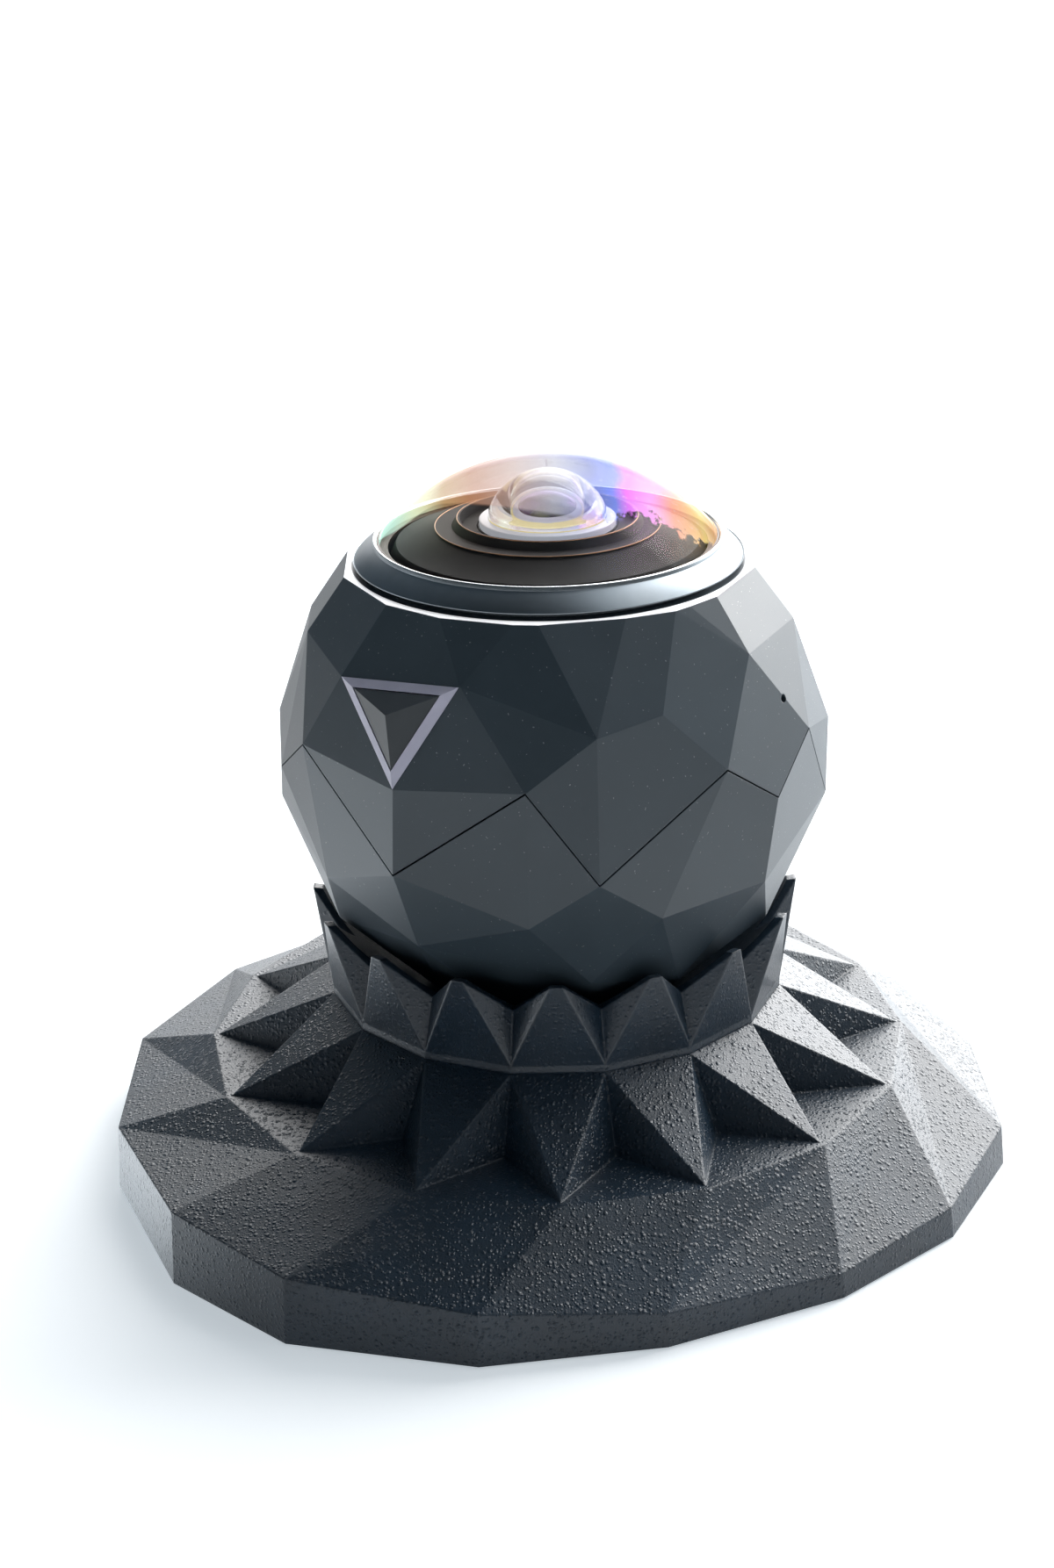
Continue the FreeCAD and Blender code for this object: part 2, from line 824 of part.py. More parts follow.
def make_deck():
    edge = SPIGOT_BORE_R - DECK_GAP
    bore = BARREL_R + DECK_GAP
    low = deck_flange_low()
    return turned(
        (edge, low),
        (edge, low + DECK_THICK),
        (DECK_R, DECK_EDGE_Z),
        (LEDGE_R, LEDGE_Z - LEDGE_STEP),
        (LEDGE_R, LEDGE_Z),
        (RIM_FOOT_R, LEDGE_Z),
        (RIM_R, RIM_Z),
        (RIM_R - RIM_WALL, RIM_Z),
        (MOAT_R, BARREL_TOP_Z),
        (bore, BARREL_TOP_Z),
        (bore, low),
    )


# Lens

def front_low():
    return BARREL_TOP_Z - FRONT_FLANGE


def cone_low():
    return front_low() - CONE_SEAT


def cone_top():
    return front_low() + CONE_RISE


def second_low():
    return cone_top() - SECOND_EDGE


def third_low():
    return cone_low() - THIRD_DROP


def stop_low():
    return third_low() - STOP_THICK


def rear_low():
    return stop_low() - REAR_DROP


def make_front_element():
    """A deep hollow lens of even wall, whose flange the front ring holds down."""
    outer = cap_radius(FRONT_R, FRONT_RISE)
    inner = outer - FRONT_WALL
    top = FRONT_EDGE_Z + FRONT_RISE
    middle = top - outer
    back_r = cap_height(inner, front_low() - middle)
    half_out = FRONT_R / 2
    half_in = back_r / 2
    return turned(
        (back_r, front_low()),
        (FRONT_R, front_low()),
        (FRONT_R, FRONT_EDGE_Z),
        ((half_out, middle + cap_height(outer, half_out)), (0, top)),
        (0, top - FRONT_WALL),
        ((half_in, middle + cap_height(inner, half_in)), (back_r, front_low())),
    )


def make_front_ring():
    return washer(RING_R, FRONT_R + ELEMENT_GAP, BARREL_TOP_Z, RING_Z)


def make_barrel():
    front_seat_r = FRONT_R + ELEMENT_GAP
    third_bore = THIRD_R + ELEMENT_GAP
    rear_bore = REAR_R + ELEMENT_GAP
    return turned(
        (BARREL_R, BARREL_BOTTOM_Z),
        (BARREL_R, BARREL_TOP_Z),
        (front_seat_r, BARREL_TOP_Z),
        (front_seat_r, front_low()),
        (CONE_SEAT_R, front_low()),
        (CONE_SEAT_R, cone_low()),
        (third_bore, cone_low()),
        (third_bore, stop_low()),
        (rear_bore, stop_low()),
        (rear_bore, rear_low()),
        (REAR_R - SPACER_WALL, rear_low()),
        (REAR_R - SPACER_WALL, BARREL_BOTTOM_Z),
    )


def make_baffle():
    """The pale cone, which is also the cell of the second element."""
    edge = CONE_SEAT_R - ELEMENT_GAP
    bore = SECOND_R + ELEMENT_GAP
    return turned(
        (CONE_BORE_R, cone_low()),
        (edge, cone_low()),
        (edge, front_low()),
        (CONE_R, front_low()),
        (CONE_TOP_R, cone_top()),
        (bore, cone_top()),
        (bore, second_low()),
        (CONE_BORE_R, second_low()),
    )


def element(radius, low, thick, front_rise, back_rise):
    """A lens with a bulging front and a bulging (or, under 0, hollow) back."""
    high = low + thick
    front = cap_radius(radius, front_rise)
    half = radius / 2
    front_mid = (half, high + front_rise - front + cap_height(front, half))
    back = cap_radius(radius, abs(back_rise))
    sag = back - cap_height(back, half)
    if back_rise > 0:
        back_mid = (half, low - back_rise + sag)
    else:
        back_mid = (half, low - back_rise - sag)
    return turned(
        (radius, low),
        (radius, high),
        (front_mid, (0, high + front_rise)),
        (0, low - back_rise),
        (back_mid, (radius, low)),
    )


def make_second_element():
    return element(SECOND_R, second_low(), SECOND_EDGE, SECOND_BULGE, -SECOND_HOLLOW)


def make_third_element():
    return element(THIRD_R, third_low() + THIRD_SPACER, THIRD_EDGE, THIRD_BULGE, THIRD_BELLY)


def make_rear_element():
    return element(REAR_R, rear_low() + REAR_SPACER, REAR_EDGE, REAR_BULGE, REAR_BELLY)


def make_stop():
    return washer(THIRD_R, STOP_R, stop_low(), stop_low() + STOP_THICK)


def make_spacers():
    third_edge = third_low() + THIRD_SPACER
    rear_edge = rear_low() + REAR_SPACER
    rings = (
        (THIRD_R, third_low(), third_edge),
        (THIRD_R, third_edge + THIRD_EDGE, cone_low()),
        (REAR_R, rear_low(), rear_edge),
        (REAR_R, rear_edge + REAR_EDGE, stop_low()),
    )
    glass = [make_third_element(), make_rear_element()]
    return Part.makeCompound([washer(r, r - SPACER_WALL, low, high).cut(glass) for r, low, high in rings])


# Sensor, boards and frame

def floor_top():
    return CHASSIS_FLOOR_Z + CHASSIS_FLOOR


def sensor_board_low():
    return floor_top() + STANDOFF


def sensor_board_top():
    return sensor_board_low() + BOARD_THICK


def make_sensor_board():
    board = disc(SENSOR_BOARD_R, sensor_board_low(), sensor_board_top())
    for place in board_screw_places():
        board = board.cut(disc(CAP_SCREW_R, sensor_board_low(), sensor_board_top(), place))
    return board


def board_screw_places():
    return ring_of(4, SENSOR_BOARD_R - BOARD_SCREW_INSET, 0, 45)


def make_board_screws():
    screws = []
    for place in board_screw_places():
        head = disc(CAP_SCREW_HEAD_R, sensor_board_top(), sensor_board_top() + CAP_SCREW_HEAD, place)
        screws.append(head.fuse(disc(CAP_SCREW_R, CHASSIS_FLOOR_Z, sensor_board_top(), place)))
    return Part.makeCompound(screws)


def make_sensor():
    return block(SENSOR_SIDE, SENSOR_SIDE, sensor_board_top(), sensor_board_top() + SENSOR_THICK)


def filter_low():
    return sensor_board_top() + SENSOR_THICK + FILTER_LIFT


def filter_high():
    return filter_low() + FILTER_THICK


def make_filter():
    return block(SENSOR_SIDE, SENSOR_SIDE, filter_low(), filter_high())


def make_holder():
    high = BARREL_BOTTOM_Z + HOLDER_SLEEVE
    base = block(HOLDER_SIDE, HOLDER_SIDE, sensor_board_top(), BARREL_BOTTOM_Z)
    collar_r = BARREL_R + HOLDER_COLLAR
    base = base.fuse(disc(collar_r, filter_high(), BARREL_BOTTOM_Z))
    base = base.cut(block(SENSOR_SIDE, SENSOR_SIDE, sensor_board_top(), filter_high()))
    base = base.cut(disc(REAR_R, sensor_board_top(), BARREL_BOTTOM_Z))
    return base.fuse(washer(collar_r, BARREL_R, BARREL_BOTTOM_Z, high))


def make_chassis():
    tube = washer(CHASSIS_R, CHASSIS_R - CHASSIS_WALL, CHASSIS_FOOT_Z, deck_flange_low())
    floor = disc(CHASSIS_R, CHASSIS_FLOOR_Z, floor_top())
    foot = washer(CHASSIS_FOOT_R, CHASSIS_R - CHASSIS_WALL, CHASSIS_FOOT_Z, CHASSIS_FOOT_Z + CHASSIS_FOOT)
    frame = tube.fuse([floor, foot])
    for place in board_screw_places():
        frame = frame.fuse(disc(STANDOFF_R, floor_top(), sensor_board_low(), place))
        frame = frame.cut(disc(CAP_SCREW_R, CHASSIS_FLOOR_Z, sensor_board_low(), place))
    for place in shell_screw_places():
        frame = frame.cut(disc(SHELL_SCREW_R, CHASSIS_FOOT_Z, CHASSIS_FOOT_Z + CHASSIS_FOOT, place))
    middle = UP * (sensor_board_top() + WINDOW_LIFT)
    for turn in range(0, 360, 90):
        window = Part.makeCylinder(WINDOW_R, FAR, middle, polar(turn, 1, 0))
        frame = frame.cut(window)
    return frame


def make_shell_screws():
    screws = []
    top = CHASSIS_FOOT_Z + CHASSIS_FOOT
    for place in shell_screw_places():
        head = disc(CAP_SCREW_HEAD_R, top, top + CAP_SCREW_HEAD, place)
        screws.append(head.fuse(disc(SHELL_SCREW_R, CHASSIS_FOOT_Z - SHELL_SCREW_DEPTH, top, place)))
    return Part.makeCompound(screws)


def make_main_board():
    return disc(MAIN_BOARD_R, main_board_low(), CHASSIS_FOOT_Z)


def make_can():
    can = block(CAN_SIDE, CAN_SIDE, main_board_low() - CAN_HEIGHT, main_board_low())
    inside = CAN_SIDE - 2 * CAN_WALL
    return can.cut(block(inside, inside, main_board_low() - CAN_HEIGHT + CAN_WALL, main_board_low()))


def spreader_low():
    return main_board_low() - CAN_HEIGHT - SPREADER_THICK


def make_spreader():
    return disc(SPREADER_R, spreader_low(), spreader_low() + SPREADER_THICK)


def battery_low():
    return spreader_low() - BATTERY_HIGH


def make_battery():
    pouch = block(BATTERY_LONG, BATTERY_WIDE, battery_low(), spreader_low())
    return pouch.makeFillet(BATTERY_EDGE, pouch.Edges)


def make_tray():
    low = battery_low() - TRAY_WALL
    long = BATTERY_LONG + 2 * TRAY_WALL
    tray = block(long, BATTERY_WIDE, low, battery_low() + BATTERY_HIGH / 2)
    tray = tray.cut(block(BATTERY_LONG, BATTERY_WIDE, battery_low(), spreader_low()))
    legs = washer(CAP_NECK_R, CAP_NECK_R - TRAY_LEG, cap_top(), low)
    return tray.fuse(legs)


# Small pieces on the main board

def make_motor():
    return disc(MOTOR_R, CHASSIS_FOOT_Z, CHASSIS_FOOT_Z + MOTOR_THICK, Vector(*MOTOR_PLACE, 0))


def make_radio():
    long, wide, high = RADIO_SIZE
    return block(long, wide, CHASSIS_FOOT_Z, CHASSIS_FOOT_Z + high, Vector(*RADIO_PLACE, 0))


def make_antenna():
    long, thick, high = ANTENNA_SIZE
    low = CHASSIS_FOOT_Z + CHASSIS_FOOT
    return block(long, thick, low, low + high, Vector(0, CHASSIS_R + ANTENNA_REACH, 0))


def sound_hole(points):
    """Where the sound hole meets its facet, and the facet's outward normal."""
    a, b, c = [points[name] for name in ("I", "U", "J")]
    normal = (b - a).cross(c - a)
    normal.normalize()
    if normal.dot(a - BALL_MIDDLE) < 0:
        normal = normal * -1
    way = towards(SOUND_HOLE_TURN, SOUND_HOLE_RISE)
    reach = (a - BALL_MIDDLE).dot(normal) / way.dot(normal)
    return BALL_MIDDLE + way * reach, normal


def make_microphone(points):
    mouth, normal = sound_hole(points)
    top = mouth - normal * (WALL + BOOT_WALL)
    return Part.makeCylinder(MICROPHONE_R, MICROPHONE_HEIGHT, top, normal * -1)


def make_boot(points, hollow):
    mouth, normal = sound_hole(points)
    depth = WALL + BOOT_WALL + MICROPHONE_HEIGHT
    boot = Part.makeCylinder(MICROPHONE_R + BOOT_WALL, depth, mouth, normal * -1)
    bore = Part.makeCylinder(SOUND_HOLE_R, depth, mouth, normal * -1)
    return boot.common(hollow).cut(bore).cut(make_microphone(points))


# Bottom cap

def cap_screw_places():
    return ring_of(CAP_SCREWS, CAP_SCREW_RING_R, 0, 180)


def contact_places():
    return ring_of(CONTACTS, CONTACT_RING_R, 0, 45)


def cap_top():
    return BOTTOM_Z + BOTTOM_PLATE + CAP_NECK_RISE


def make_cap():
    high = cap_top()
    cap = disc(CAP_R, BOTTOM_Z, BOTTOM_Z + CAP_THICK)
    cap = cap.fuse(disc(CAP_NECK_R, BOTTOM_Z + CAP_THICK, high))
    cap = cap.cut(disc(INSERT_R, BOTTOM_Z, high))
    for place in contact_places():
        cap = cap.cut(disc(CONTACT_R, BOTTOM_Z, high, place))
    for place in cap_screw_places():
        cap = cap.cut(disc(CAP_SCREW_R, BOTTOM_Z, high, place))
        cap = cap.cut(disc(CAP_SCREW_HEAD_R, BOTTOM_Z, BOTTOM_Z + CAP_SCREW_HEAD, place))
    return cap


def make_cap_screws():
    screws = []
    high = cap_top()
    for place in cap_screw_places():
        neck = BOTTOM_Z + CAP_SCREW_HEAD
        head = disc(CAP_SCREW_HEAD_R, BOTTOM_Z + SUNK, neck, place)
        screws.append(head.fuse(disc(CAP_SCREW_R, neck, high, place)))
    return Part.makeCompound(screws)


def make_contacts():
    places = contact_places()
    return Part.makeCompound([disc(CONTACT_R, BOTTOM_Z + SUNK, cap_top(), place) for place in places])


def make_insert():
    high = BOTTOM_Z + INSERT_HEIGHT
    return disc(INSERT_R, BOTTOM_Z, high).cut(disc(THREAD_R, BOTTOM_Z, BOTTOM_Z + THREAD_DEPTH))


def main():
    os.makedirs("parts", exist_ok=True)
    points = gem_corners()
    hollow = cavity(points)

    save("base_foot", finish_foot(make_foot()))
    save("cradle_crown", make_crown())
    save("seat_ring", make_seat())
    save("ballast_plate", make_ballast())
    save("foot_pad", pad_outline(0, pad_top(), PAD_EASE))
    save("crown_screws", make_crown_screws())

    save("upper_shell", make_upper_shell(points, hollow))
    save("lower_shell", make_lower_shell(points, hollow))
    save("parting_seal", make_parting_seal(points, hollow))
    save("lens_bezel", make_bezel())
    save("dome_cover", make_dome())
    save("dome_seal", make_dome_seal())
    save("lens_deck", make_deck())

    save("lens_barrel", make_barrel())
    save("front_element", make_front_element())
    save("front_ring", make_front_ring())
    save("baffle_ring", make_baffle())
    save("second_element", make_second_element())
    save("third_element", make_third_element())
    save("aperture_stop", make_stop())
    save("rear_element", make_rear_element())
    save("lens_spacers", make_spacers())
    save("ir_filter", make_filter())

    save("sensor_holder", make_holder())
    save("image_sensor", make_sensor())
    save("sensor_board", make_sensor_board())
    save("board_screws", make_board_screws())
    save("chassis", make_chassis())
    save("chassis_screws", make_shell_screws())
    save("main_board", make_main_board())
    save("shield_can", make_can())
    save("heat_spreader", make_spreader())
    save("battery", make_battery())
    save("battery_tray", make_tray())
    save("vibration_motor", make_motor())
    save("radio_module", make_radio())
    save("antenna", make_antenna())
    save("microphone", make_microphone(points))
    save("mic_boot", make_boot(points, hollow))

    save("base_cap", make_cap())
    save("cap_screws", make_cap_screws())
    save("contact_pads", make_contacts())
    save("tripod_insert", make_insert())

    save("light_guide", make_light_guide(points))
    save("button_cap", make_button_cap(points))
    save("button_housing", make_button_housing(points, hollow))
    save("button_board", make_button_board(points))
    save("button_switch", make_button_switch(points))


main()
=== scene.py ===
import math

import bpy
from mathutils import Matrix, Vector


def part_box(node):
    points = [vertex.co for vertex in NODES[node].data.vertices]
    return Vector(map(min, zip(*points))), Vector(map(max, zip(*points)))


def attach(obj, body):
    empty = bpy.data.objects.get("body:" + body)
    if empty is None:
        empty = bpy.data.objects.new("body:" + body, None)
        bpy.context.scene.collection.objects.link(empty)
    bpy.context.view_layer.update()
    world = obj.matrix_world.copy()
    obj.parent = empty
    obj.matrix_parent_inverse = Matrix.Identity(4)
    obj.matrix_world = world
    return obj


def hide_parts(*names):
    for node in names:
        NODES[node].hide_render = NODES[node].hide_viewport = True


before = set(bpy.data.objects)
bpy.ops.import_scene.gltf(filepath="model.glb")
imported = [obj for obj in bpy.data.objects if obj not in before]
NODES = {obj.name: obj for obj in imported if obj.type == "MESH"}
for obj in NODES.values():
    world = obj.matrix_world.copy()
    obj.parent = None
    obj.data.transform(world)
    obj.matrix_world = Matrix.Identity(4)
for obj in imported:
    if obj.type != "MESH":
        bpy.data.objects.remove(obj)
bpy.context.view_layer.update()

bl_info = {
    "name": "Faceted Ball Camera",
    "version": (1, 0, 0),
    "blender": (4, 5, 0),
    "location": "View3D > Sidebar > Ball Camera",
    "description": "Dresses a faceted ball camera in its spiked cradle and sets up its studio",
    "category": "Object",
}

MM = 0.001


def ends(node):
    """A round node's reach from the lens axis, its lowest height and its highest, in millimetres."""
    low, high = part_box(node)
    return high[0] / MM, low[2] / MM, high[2] / MM


# The button's facet on the shell: its corners at the left, the right and the tip, in millimetres
BUTTON_FACET = ((-21.634, -15.833, 61.319), (-9.089, -24.836, 63.116), (-16.226, -25.274, 52.303))
# How many sides the turned pieces have: as a rule, the deck, the bezel and the lenses
SIDES = 128
FINE_SIDES = 160
RIM_SIDES = 192
LENS_SIDES = 96
BLACK = (0, 0, 0)
WHITE = (1, 1, 1)
# The scale that draws an end to a point, whose vertices then become one
NEARLY_NOTHING = 0.0001
# Vertices closer than this become one, in millimetres: along an outline, and at such a point
SAME_PLACE = 0.0001
SAME_POINT = 0.004
# A turned outline can't reach the axis: angles at which caps end, in degrees, and a last radius
DOME_END = 89.8
LENS_END = 89.5
LAST_RADIUS = 0.01
# Radius at which the bezel's inner edge is highest, in millimetres
BEZEL_CREST = 18.66


# Shader trees

class Wire:
    """A socket of a shader tree. Sums on wires add the Math nodes they need."""

    def __init__(self, paint, socket):
        self.paint = paint
        self.socket = socket

    def sum(self, operation, *values, clamp=False):
        node = self.paint.node("ShaderNodeMath", {"operation": operation, "use_clamp": clamp},
                               dict(enumerate(values)))
        return node[0]

    def __add__(self, other):
        return self.sum("ADD", self, other)

    def __radd__(self, other):
        return self.sum("ADD", other, self)

    def __sub__(self, other):
        return self.sum("SUBTRACT", self, other)

    def __rsub__(self, other):
        return self.sum("SUBTRACT", other, self)

    def __mul__(self, other):
        return self.sum("MULTIPLY", self, other)

    def __rmul__(self, other):
        return self.sum("MULTIPLY", other, self)

    def __truediv__(self, other):
        return self.sum("DIVIDE", self, other)

    def __pow__(self, other):
        return self.sum("POWER", self, other)

    def clamp(self):
        return self.sum("ADD", self, 0.0, clamp=True)

    def over(self, low, high):
        """0 under low, 1 over high, and smooth between them."""
        node = self.paint.node("ShaderNodeMapRange", {"interpolation_type": "SMOOTHSTEP"},
                               {"Value": self, "From Min": low, "From Max": high})
        return node["Result"]


class Node:
    """A shader node whose outputs are read as wires."""

    def __init__(self, paint, raw):
        self.paint = paint
        self.raw = raw

    def __getitem__(self, key):
        return Wire(self.paint, self.raw.outputs[key])


class Paint:
    """The shader tree of one finish or of the world."""

    def __init__(self, tree):
        self.tree = tree
        tree.nodes.clear()

    def node(self, kind, settings=None, inputs=None):
        raw = self.tree.nodes.new(kind)
        for name, value in (settings or {}).items():
            if name == "stops":
                self.set_stops(raw.color_ramp, value)
            else:
                setattr(raw, name, value)
        for key, value in (inputs or {}).items():
            self.feed(raw.inputs[key], value)
        return Node(self, raw)

    def feed(self, socket, value):
        if isinstance(value, Wire):
            self.tree.links.new(value.socket, socket)
        elif value is not None:
            socket.default_value = value

    @staticmethod
    def set_stops(ramp, stops):
        while len(ramp.elements) > 1:
            ramp.elements.remove(ramp.elements[-1])
        ramp.elements[0].position = stops[0][0]
        ramp.elements[0].color = rgba(stops[0][1])
        for place, colour in stops[1:]:
            ramp.elements.new(place).color = rgba(colour)

    def place(self):
        """Object coordinates in millimetres."""
        return self.scaled(self.node("ShaderNodeTexCoord")["Object"], 1 / MM)

    def axis(self, vector, name):
        return self.node("ShaderNodeSeparateXYZ", None, {0: vector})[name]

    def noise(self, where, size, detail=2.0, roughness=0.5):
        """Noise from 0 to 1 whose grains are about this many millimetres."""
        return self.node("ShaderNodeTexNoise", None, {
            "Vector": where, "Scale": 1 / size, "Detail": detail, "Roughness": roughness})["Fac"]

    def blend(self, factor, a, b):
        """Two colours mixed by a factor."""
        settings = {"data_type": "RGBA", "clamp_factor": True}
        colours = {6: a if isinstance(a, Wire) else rgba(a), 7: b if isinstance(b, Wire) else rgba(b)}
        return self.node("ShaderNodeMix", settings, {0: factor, **colours})[2]

    def scaled(self, colour, factor):
        """A colour or place made larger or smaller by a factor."""
        return self.node("ShaderNodeVectorMath", {"operation": "SCALE"}, {0: colour, "Scale": factor})[0]

    def ramp(self, value, stops):
        """The colour at a value between stops, each a value and a colour."""
        return self.node("ShaderNodeValToRGB", {"stops": stops}, {0: value})["Color"]

    def bump(self, height, depth, normal=None):
        """A bump whose full height is this many millimetres."""
        return self.node("ShaderNodeBump", None, {
            "Height": height, "Distance": depth * MM, "Strength": 1.0, "Normal": normal})["Normal"]

    def facing(self, blend):
        """0 where the surface is seen square on, up to 1 where it turns away."""
        return self.node("ShaderNodeLayerWeight", None, {"Blend": blend})["Facing"]

    def reach(self, where):
        """Distance from the lens axis, in millimetres."""
        across, along = self.axis(where, "X"), self.axis(where, "Y")
        return (across * across + along * along) ** 0.5

    def eased(self, radius):
        """Normals that round every edge by this many millimetres."""
        return self.node("ShaderNodeBevel", {"samples": 6}, {"Radius": radius * MM})["Normal"]

    def principled(self, **sockets):
        return self.node("ShaderNodeBsdfPrincipled", None,
                         {name.replace("_", " "): value for name, value in sockets.items()})["BSDF"]

    def light(self, colour, strength):
        """A shader that gives off light of a steady strength."""
        sockets = {"Color": rgba(colour), "Strength": strength}
        return self.node("ShaderNodeEmission", None, sockets)["Emission"]

    def finish(self, shader, kind="ShaderNodeOutputMaterial"):
        self.node(kind, None, {"Surface": shader})


def rgba(colour):
    return (*colour[:3], 1.0)


def new_finish(name):
    """A new material and the paint for its shader tree."""
    material = bpy.data.materials.new(name)
    material.use_nodes = True
    return material, Paint(material.node_tree)


# Meshes

def clear_selection():
    if bpy.context.object and bpy.context.object.mode != "OBJECT":
        bpy.ops.object.mode_set(mode="OBJECT")
    bpy.ops.object.select_all(action="DESELECT")


def arc(centre, radius, start, end, count):
    """Profile points on a circle, from one angle to another, 0 outward and 90 up."""
    points = []
    for k in range(count + 1):
        angle = math.radians(start + (end - start) * k / count)
        points.append((centre[0] + radius * math.cos(angle), centre[1] + radius * math.sin(angle)))
    return points


def cap(reach, rise, top, end, count):
    """The outline of a ball's cap from rim to top, the height of its middle and its radius."""
    radius = (reach ** 2 + rise ** 2) / (2 * rise)
    middle = top - radius
    start = math.degrees(math.asin((radius - rise) / radius))
    return arc((0, middle), radius, start, end, count), middle, radius


def turned(name, profile, sharp, sides=SIDES):
    """A piece turned about the lens axis from a closed profile of radii and heights in millimetres.

    Edges where faces meet at more than the angle sharp, in degrees, stay sharp.
    """
    clear_selection()
    radius, height = profile[0]
    bpy.ops.mesh.primitive_circle_add(vertices=sides, radius=radius * MM, fill_type="NOTHING",
                                      location=(0, 0, height * MM))
    piece = bpy.context.object
    piece.name = name
    bpy.ops.object.mode_set(mode="EDIT")
    bpy.ops.mesh.select_all(action="SELECT")
    for next_radius, next_height in profile[1:]:
        rise = (0, 0, (next_height - height) * MM)
        bpy.ops.mesh.extrude_region_move(TRANSFORM_OT_translate={"value": rise})
        scale = next_radius / radius
        bpy.ops.transform.resize(value=(scale, scale, 1), center_override=(0, 0, next_height * MM))
        radius, height = next_radius, next_height
    bpy.ops.mesh.select_all(action="SELECT")
    bpy.ops.mesh.remove_doubles(threshold=SAME_PLACE * MM)
    bpy.ops.mesh.fill_holes(sides=0)
    settle(sharp)
    return piece


def settle(sharp):
    """Ends the active piece's edit mode with its faces pointing out, and its place in its mesh."""
    bpy.ops.mesh.select_all(action="SELECT")
    bpy.ops.mesh.normals_make_consistent(inside=False)
    bpy.ops.object.mode_set(mode="OBJECT")
    bpy.ops.object.transform_apply(location=True, rotation=True, scale=True)
    bpy.ops.object.shade_smooth_by_angle(angle=math.radians(sharp))


def raised(name, profile, peak=None):
    """A piece on the button's facet, from insets and heights in millimetres, with a peak if asked."""
    corners = [Vector(corner) for corner in BUTTON_FACET]
    slant = (corners[1] - corners[0]).cross(corners[2] - corners[0])
    normal = slant.normalized() if slant.y < 0 else -slant.normalized()
    sides = [(corners[1] - corners[2]).length, (corners[2] - corners[0]).length,
             (corners[0] - corners[1]).length]
    heart = sum((corner * side for corner, side in zip(corners, sides)), Vector()) / sum(sides)
    inradius = slant.length / sum(sides)
    inset, height = profile[0]
    share = (inradius - inset) / inradius
    clear_selection()
    bpy.ops.mesh.primitive_circle_add(vertices=3, radius=MM, fill_type="NOTHING")
    piece = bpy.context.object
    piece.name = name
    for index, corner in enumerate(corners):
        place = (heart + (corner - heart) * share + normal * height) * MM
        move_vertex(piece, index, place)
    bpy.ops.object.mode_set(mode="EDIT")
    bpy.ops.mesh.select_all(action="SELECT")
    for next_inset, next_height in profile[1:]:
        scale = (inradius - next_inset) / (inradius - inset)
        grow(normal * (next_height - height), scale, heart + normal * next_height)
        inset, height = next_inset, next_height
    if peak:
        centre = sum(corners, Vector()) / 3
        grow(normal * (peak - height), NEARLY_NOTHING, centre + normal * peak)
    bpy.ops.mesh.select_all(action="SELECT")
    bpy.ops.mesh.remove_doubles(threshold=SAME_POINT * MM)
    bpy.ops.mesh.fill_holes(sides=0)
    settle(sharp=10)
    return piece


def move_vertex(piece, index, place):
    """Moves one vertex of a piece to a place in metres."""
    for vertex in piece.data.vertices:
        vertex.select = vertex.index == index
    for edge in piece.data.edges:
        edge.select = False
    move = place - piece.data.vertices[index].co
    bpy.ops.object.mode_set(mode="EDIT")
    bpy.ops.mesh.select_mode(type="VERT")
    bpy.ops.transform.translate(value=move)
    bpy.ops.object.mode_set(mode="OBJECT")


def grow(rise, scale, centre):
    """Extrudes what is selected by a rise and scales the new end about a centre, in millimetres."""
    bpy.ops.mesh.extrude_region_move(TRANSFORM_OT_translate={"value": rise * MM})
    bpy.ops.transform.resize(value=(scale, scale, scale), center_override=centre * MM)


def dress(piece, *materials):
    """Gives a piece these materials in place of its own."""
    piece.data.materials.clear()
    for material in materials:
        piece.data.materials.append(material)


def wear(material, *names):
    """Gives nodes of the frame one material."""
    for name in names:
        dress(NODES[name], material)


# Finishes

def shell_finish(look):
    """Satin shell with a few pale flecks, and a painted highlight on its flat top round the bezel: a pale
    lip that also glows white.
    """
    material, paint = new_finish("slate_satin_shell")
    where = paint.place()
    grain = paint.noise(where, 0.09)
    drift = paint.noise(where, 9.0, 3.0)
    fleck = paint.noise(where, 0.23, 0.0).over(0.815, 0.85)
    darker = tuple(c * 0.9 for c in look.shell_colour)
    colour = paint.blend(drift.over(0.3, 0.7), darker, look.shell_colour)
    colour = paint.blend(fleck * 0.35, colour, (0.4, 0.42, 0.44))
    # Painted highlight: the sliver of flat top just outside the bezel is paled and glows white, standing
    # in for the light it catches.
    on_top = paint.axis(where, "Z").over(look.lip_height - 0.08, look.lip_height - 0.02)
    bezel_reach = ends("lens_bezel")[0]
    lip = on_top * paint.reach(where).over(bezel_reach + 0.05, bezel_reach + 0.25)
    colour = paint.blend(lip, colour, (0.8, 0.82, 0.85))
    normal = paint.bump(grain, look.shell_grain, paint.eased(0.12))
    paint.finish(paint.principled(
        Base_Color=colour, Roughness=0.36 + drift * 0.06 + grain * 0.06, Normal=normal, IOR=1.5,
        Emission_Color=paint.blend(lip, BLACK, WHITE), Emission_Strength=0.55))
    return material


def lumps(paint, where, grain, size, share):
    """Round granules of about this many millimetres, left out in this share of the places."""
    cells = paint.node("ShaderNodeTexVoronoi", None, {"Vector": where, "Scale": 1 / size})
    some = paint.axis(cells["Color"], "X").over(share, share + 0.05)
    return (1 - (cells["Distance"] + (grain - 0.5) * 0.5).over(0.05, 0.5)) * some


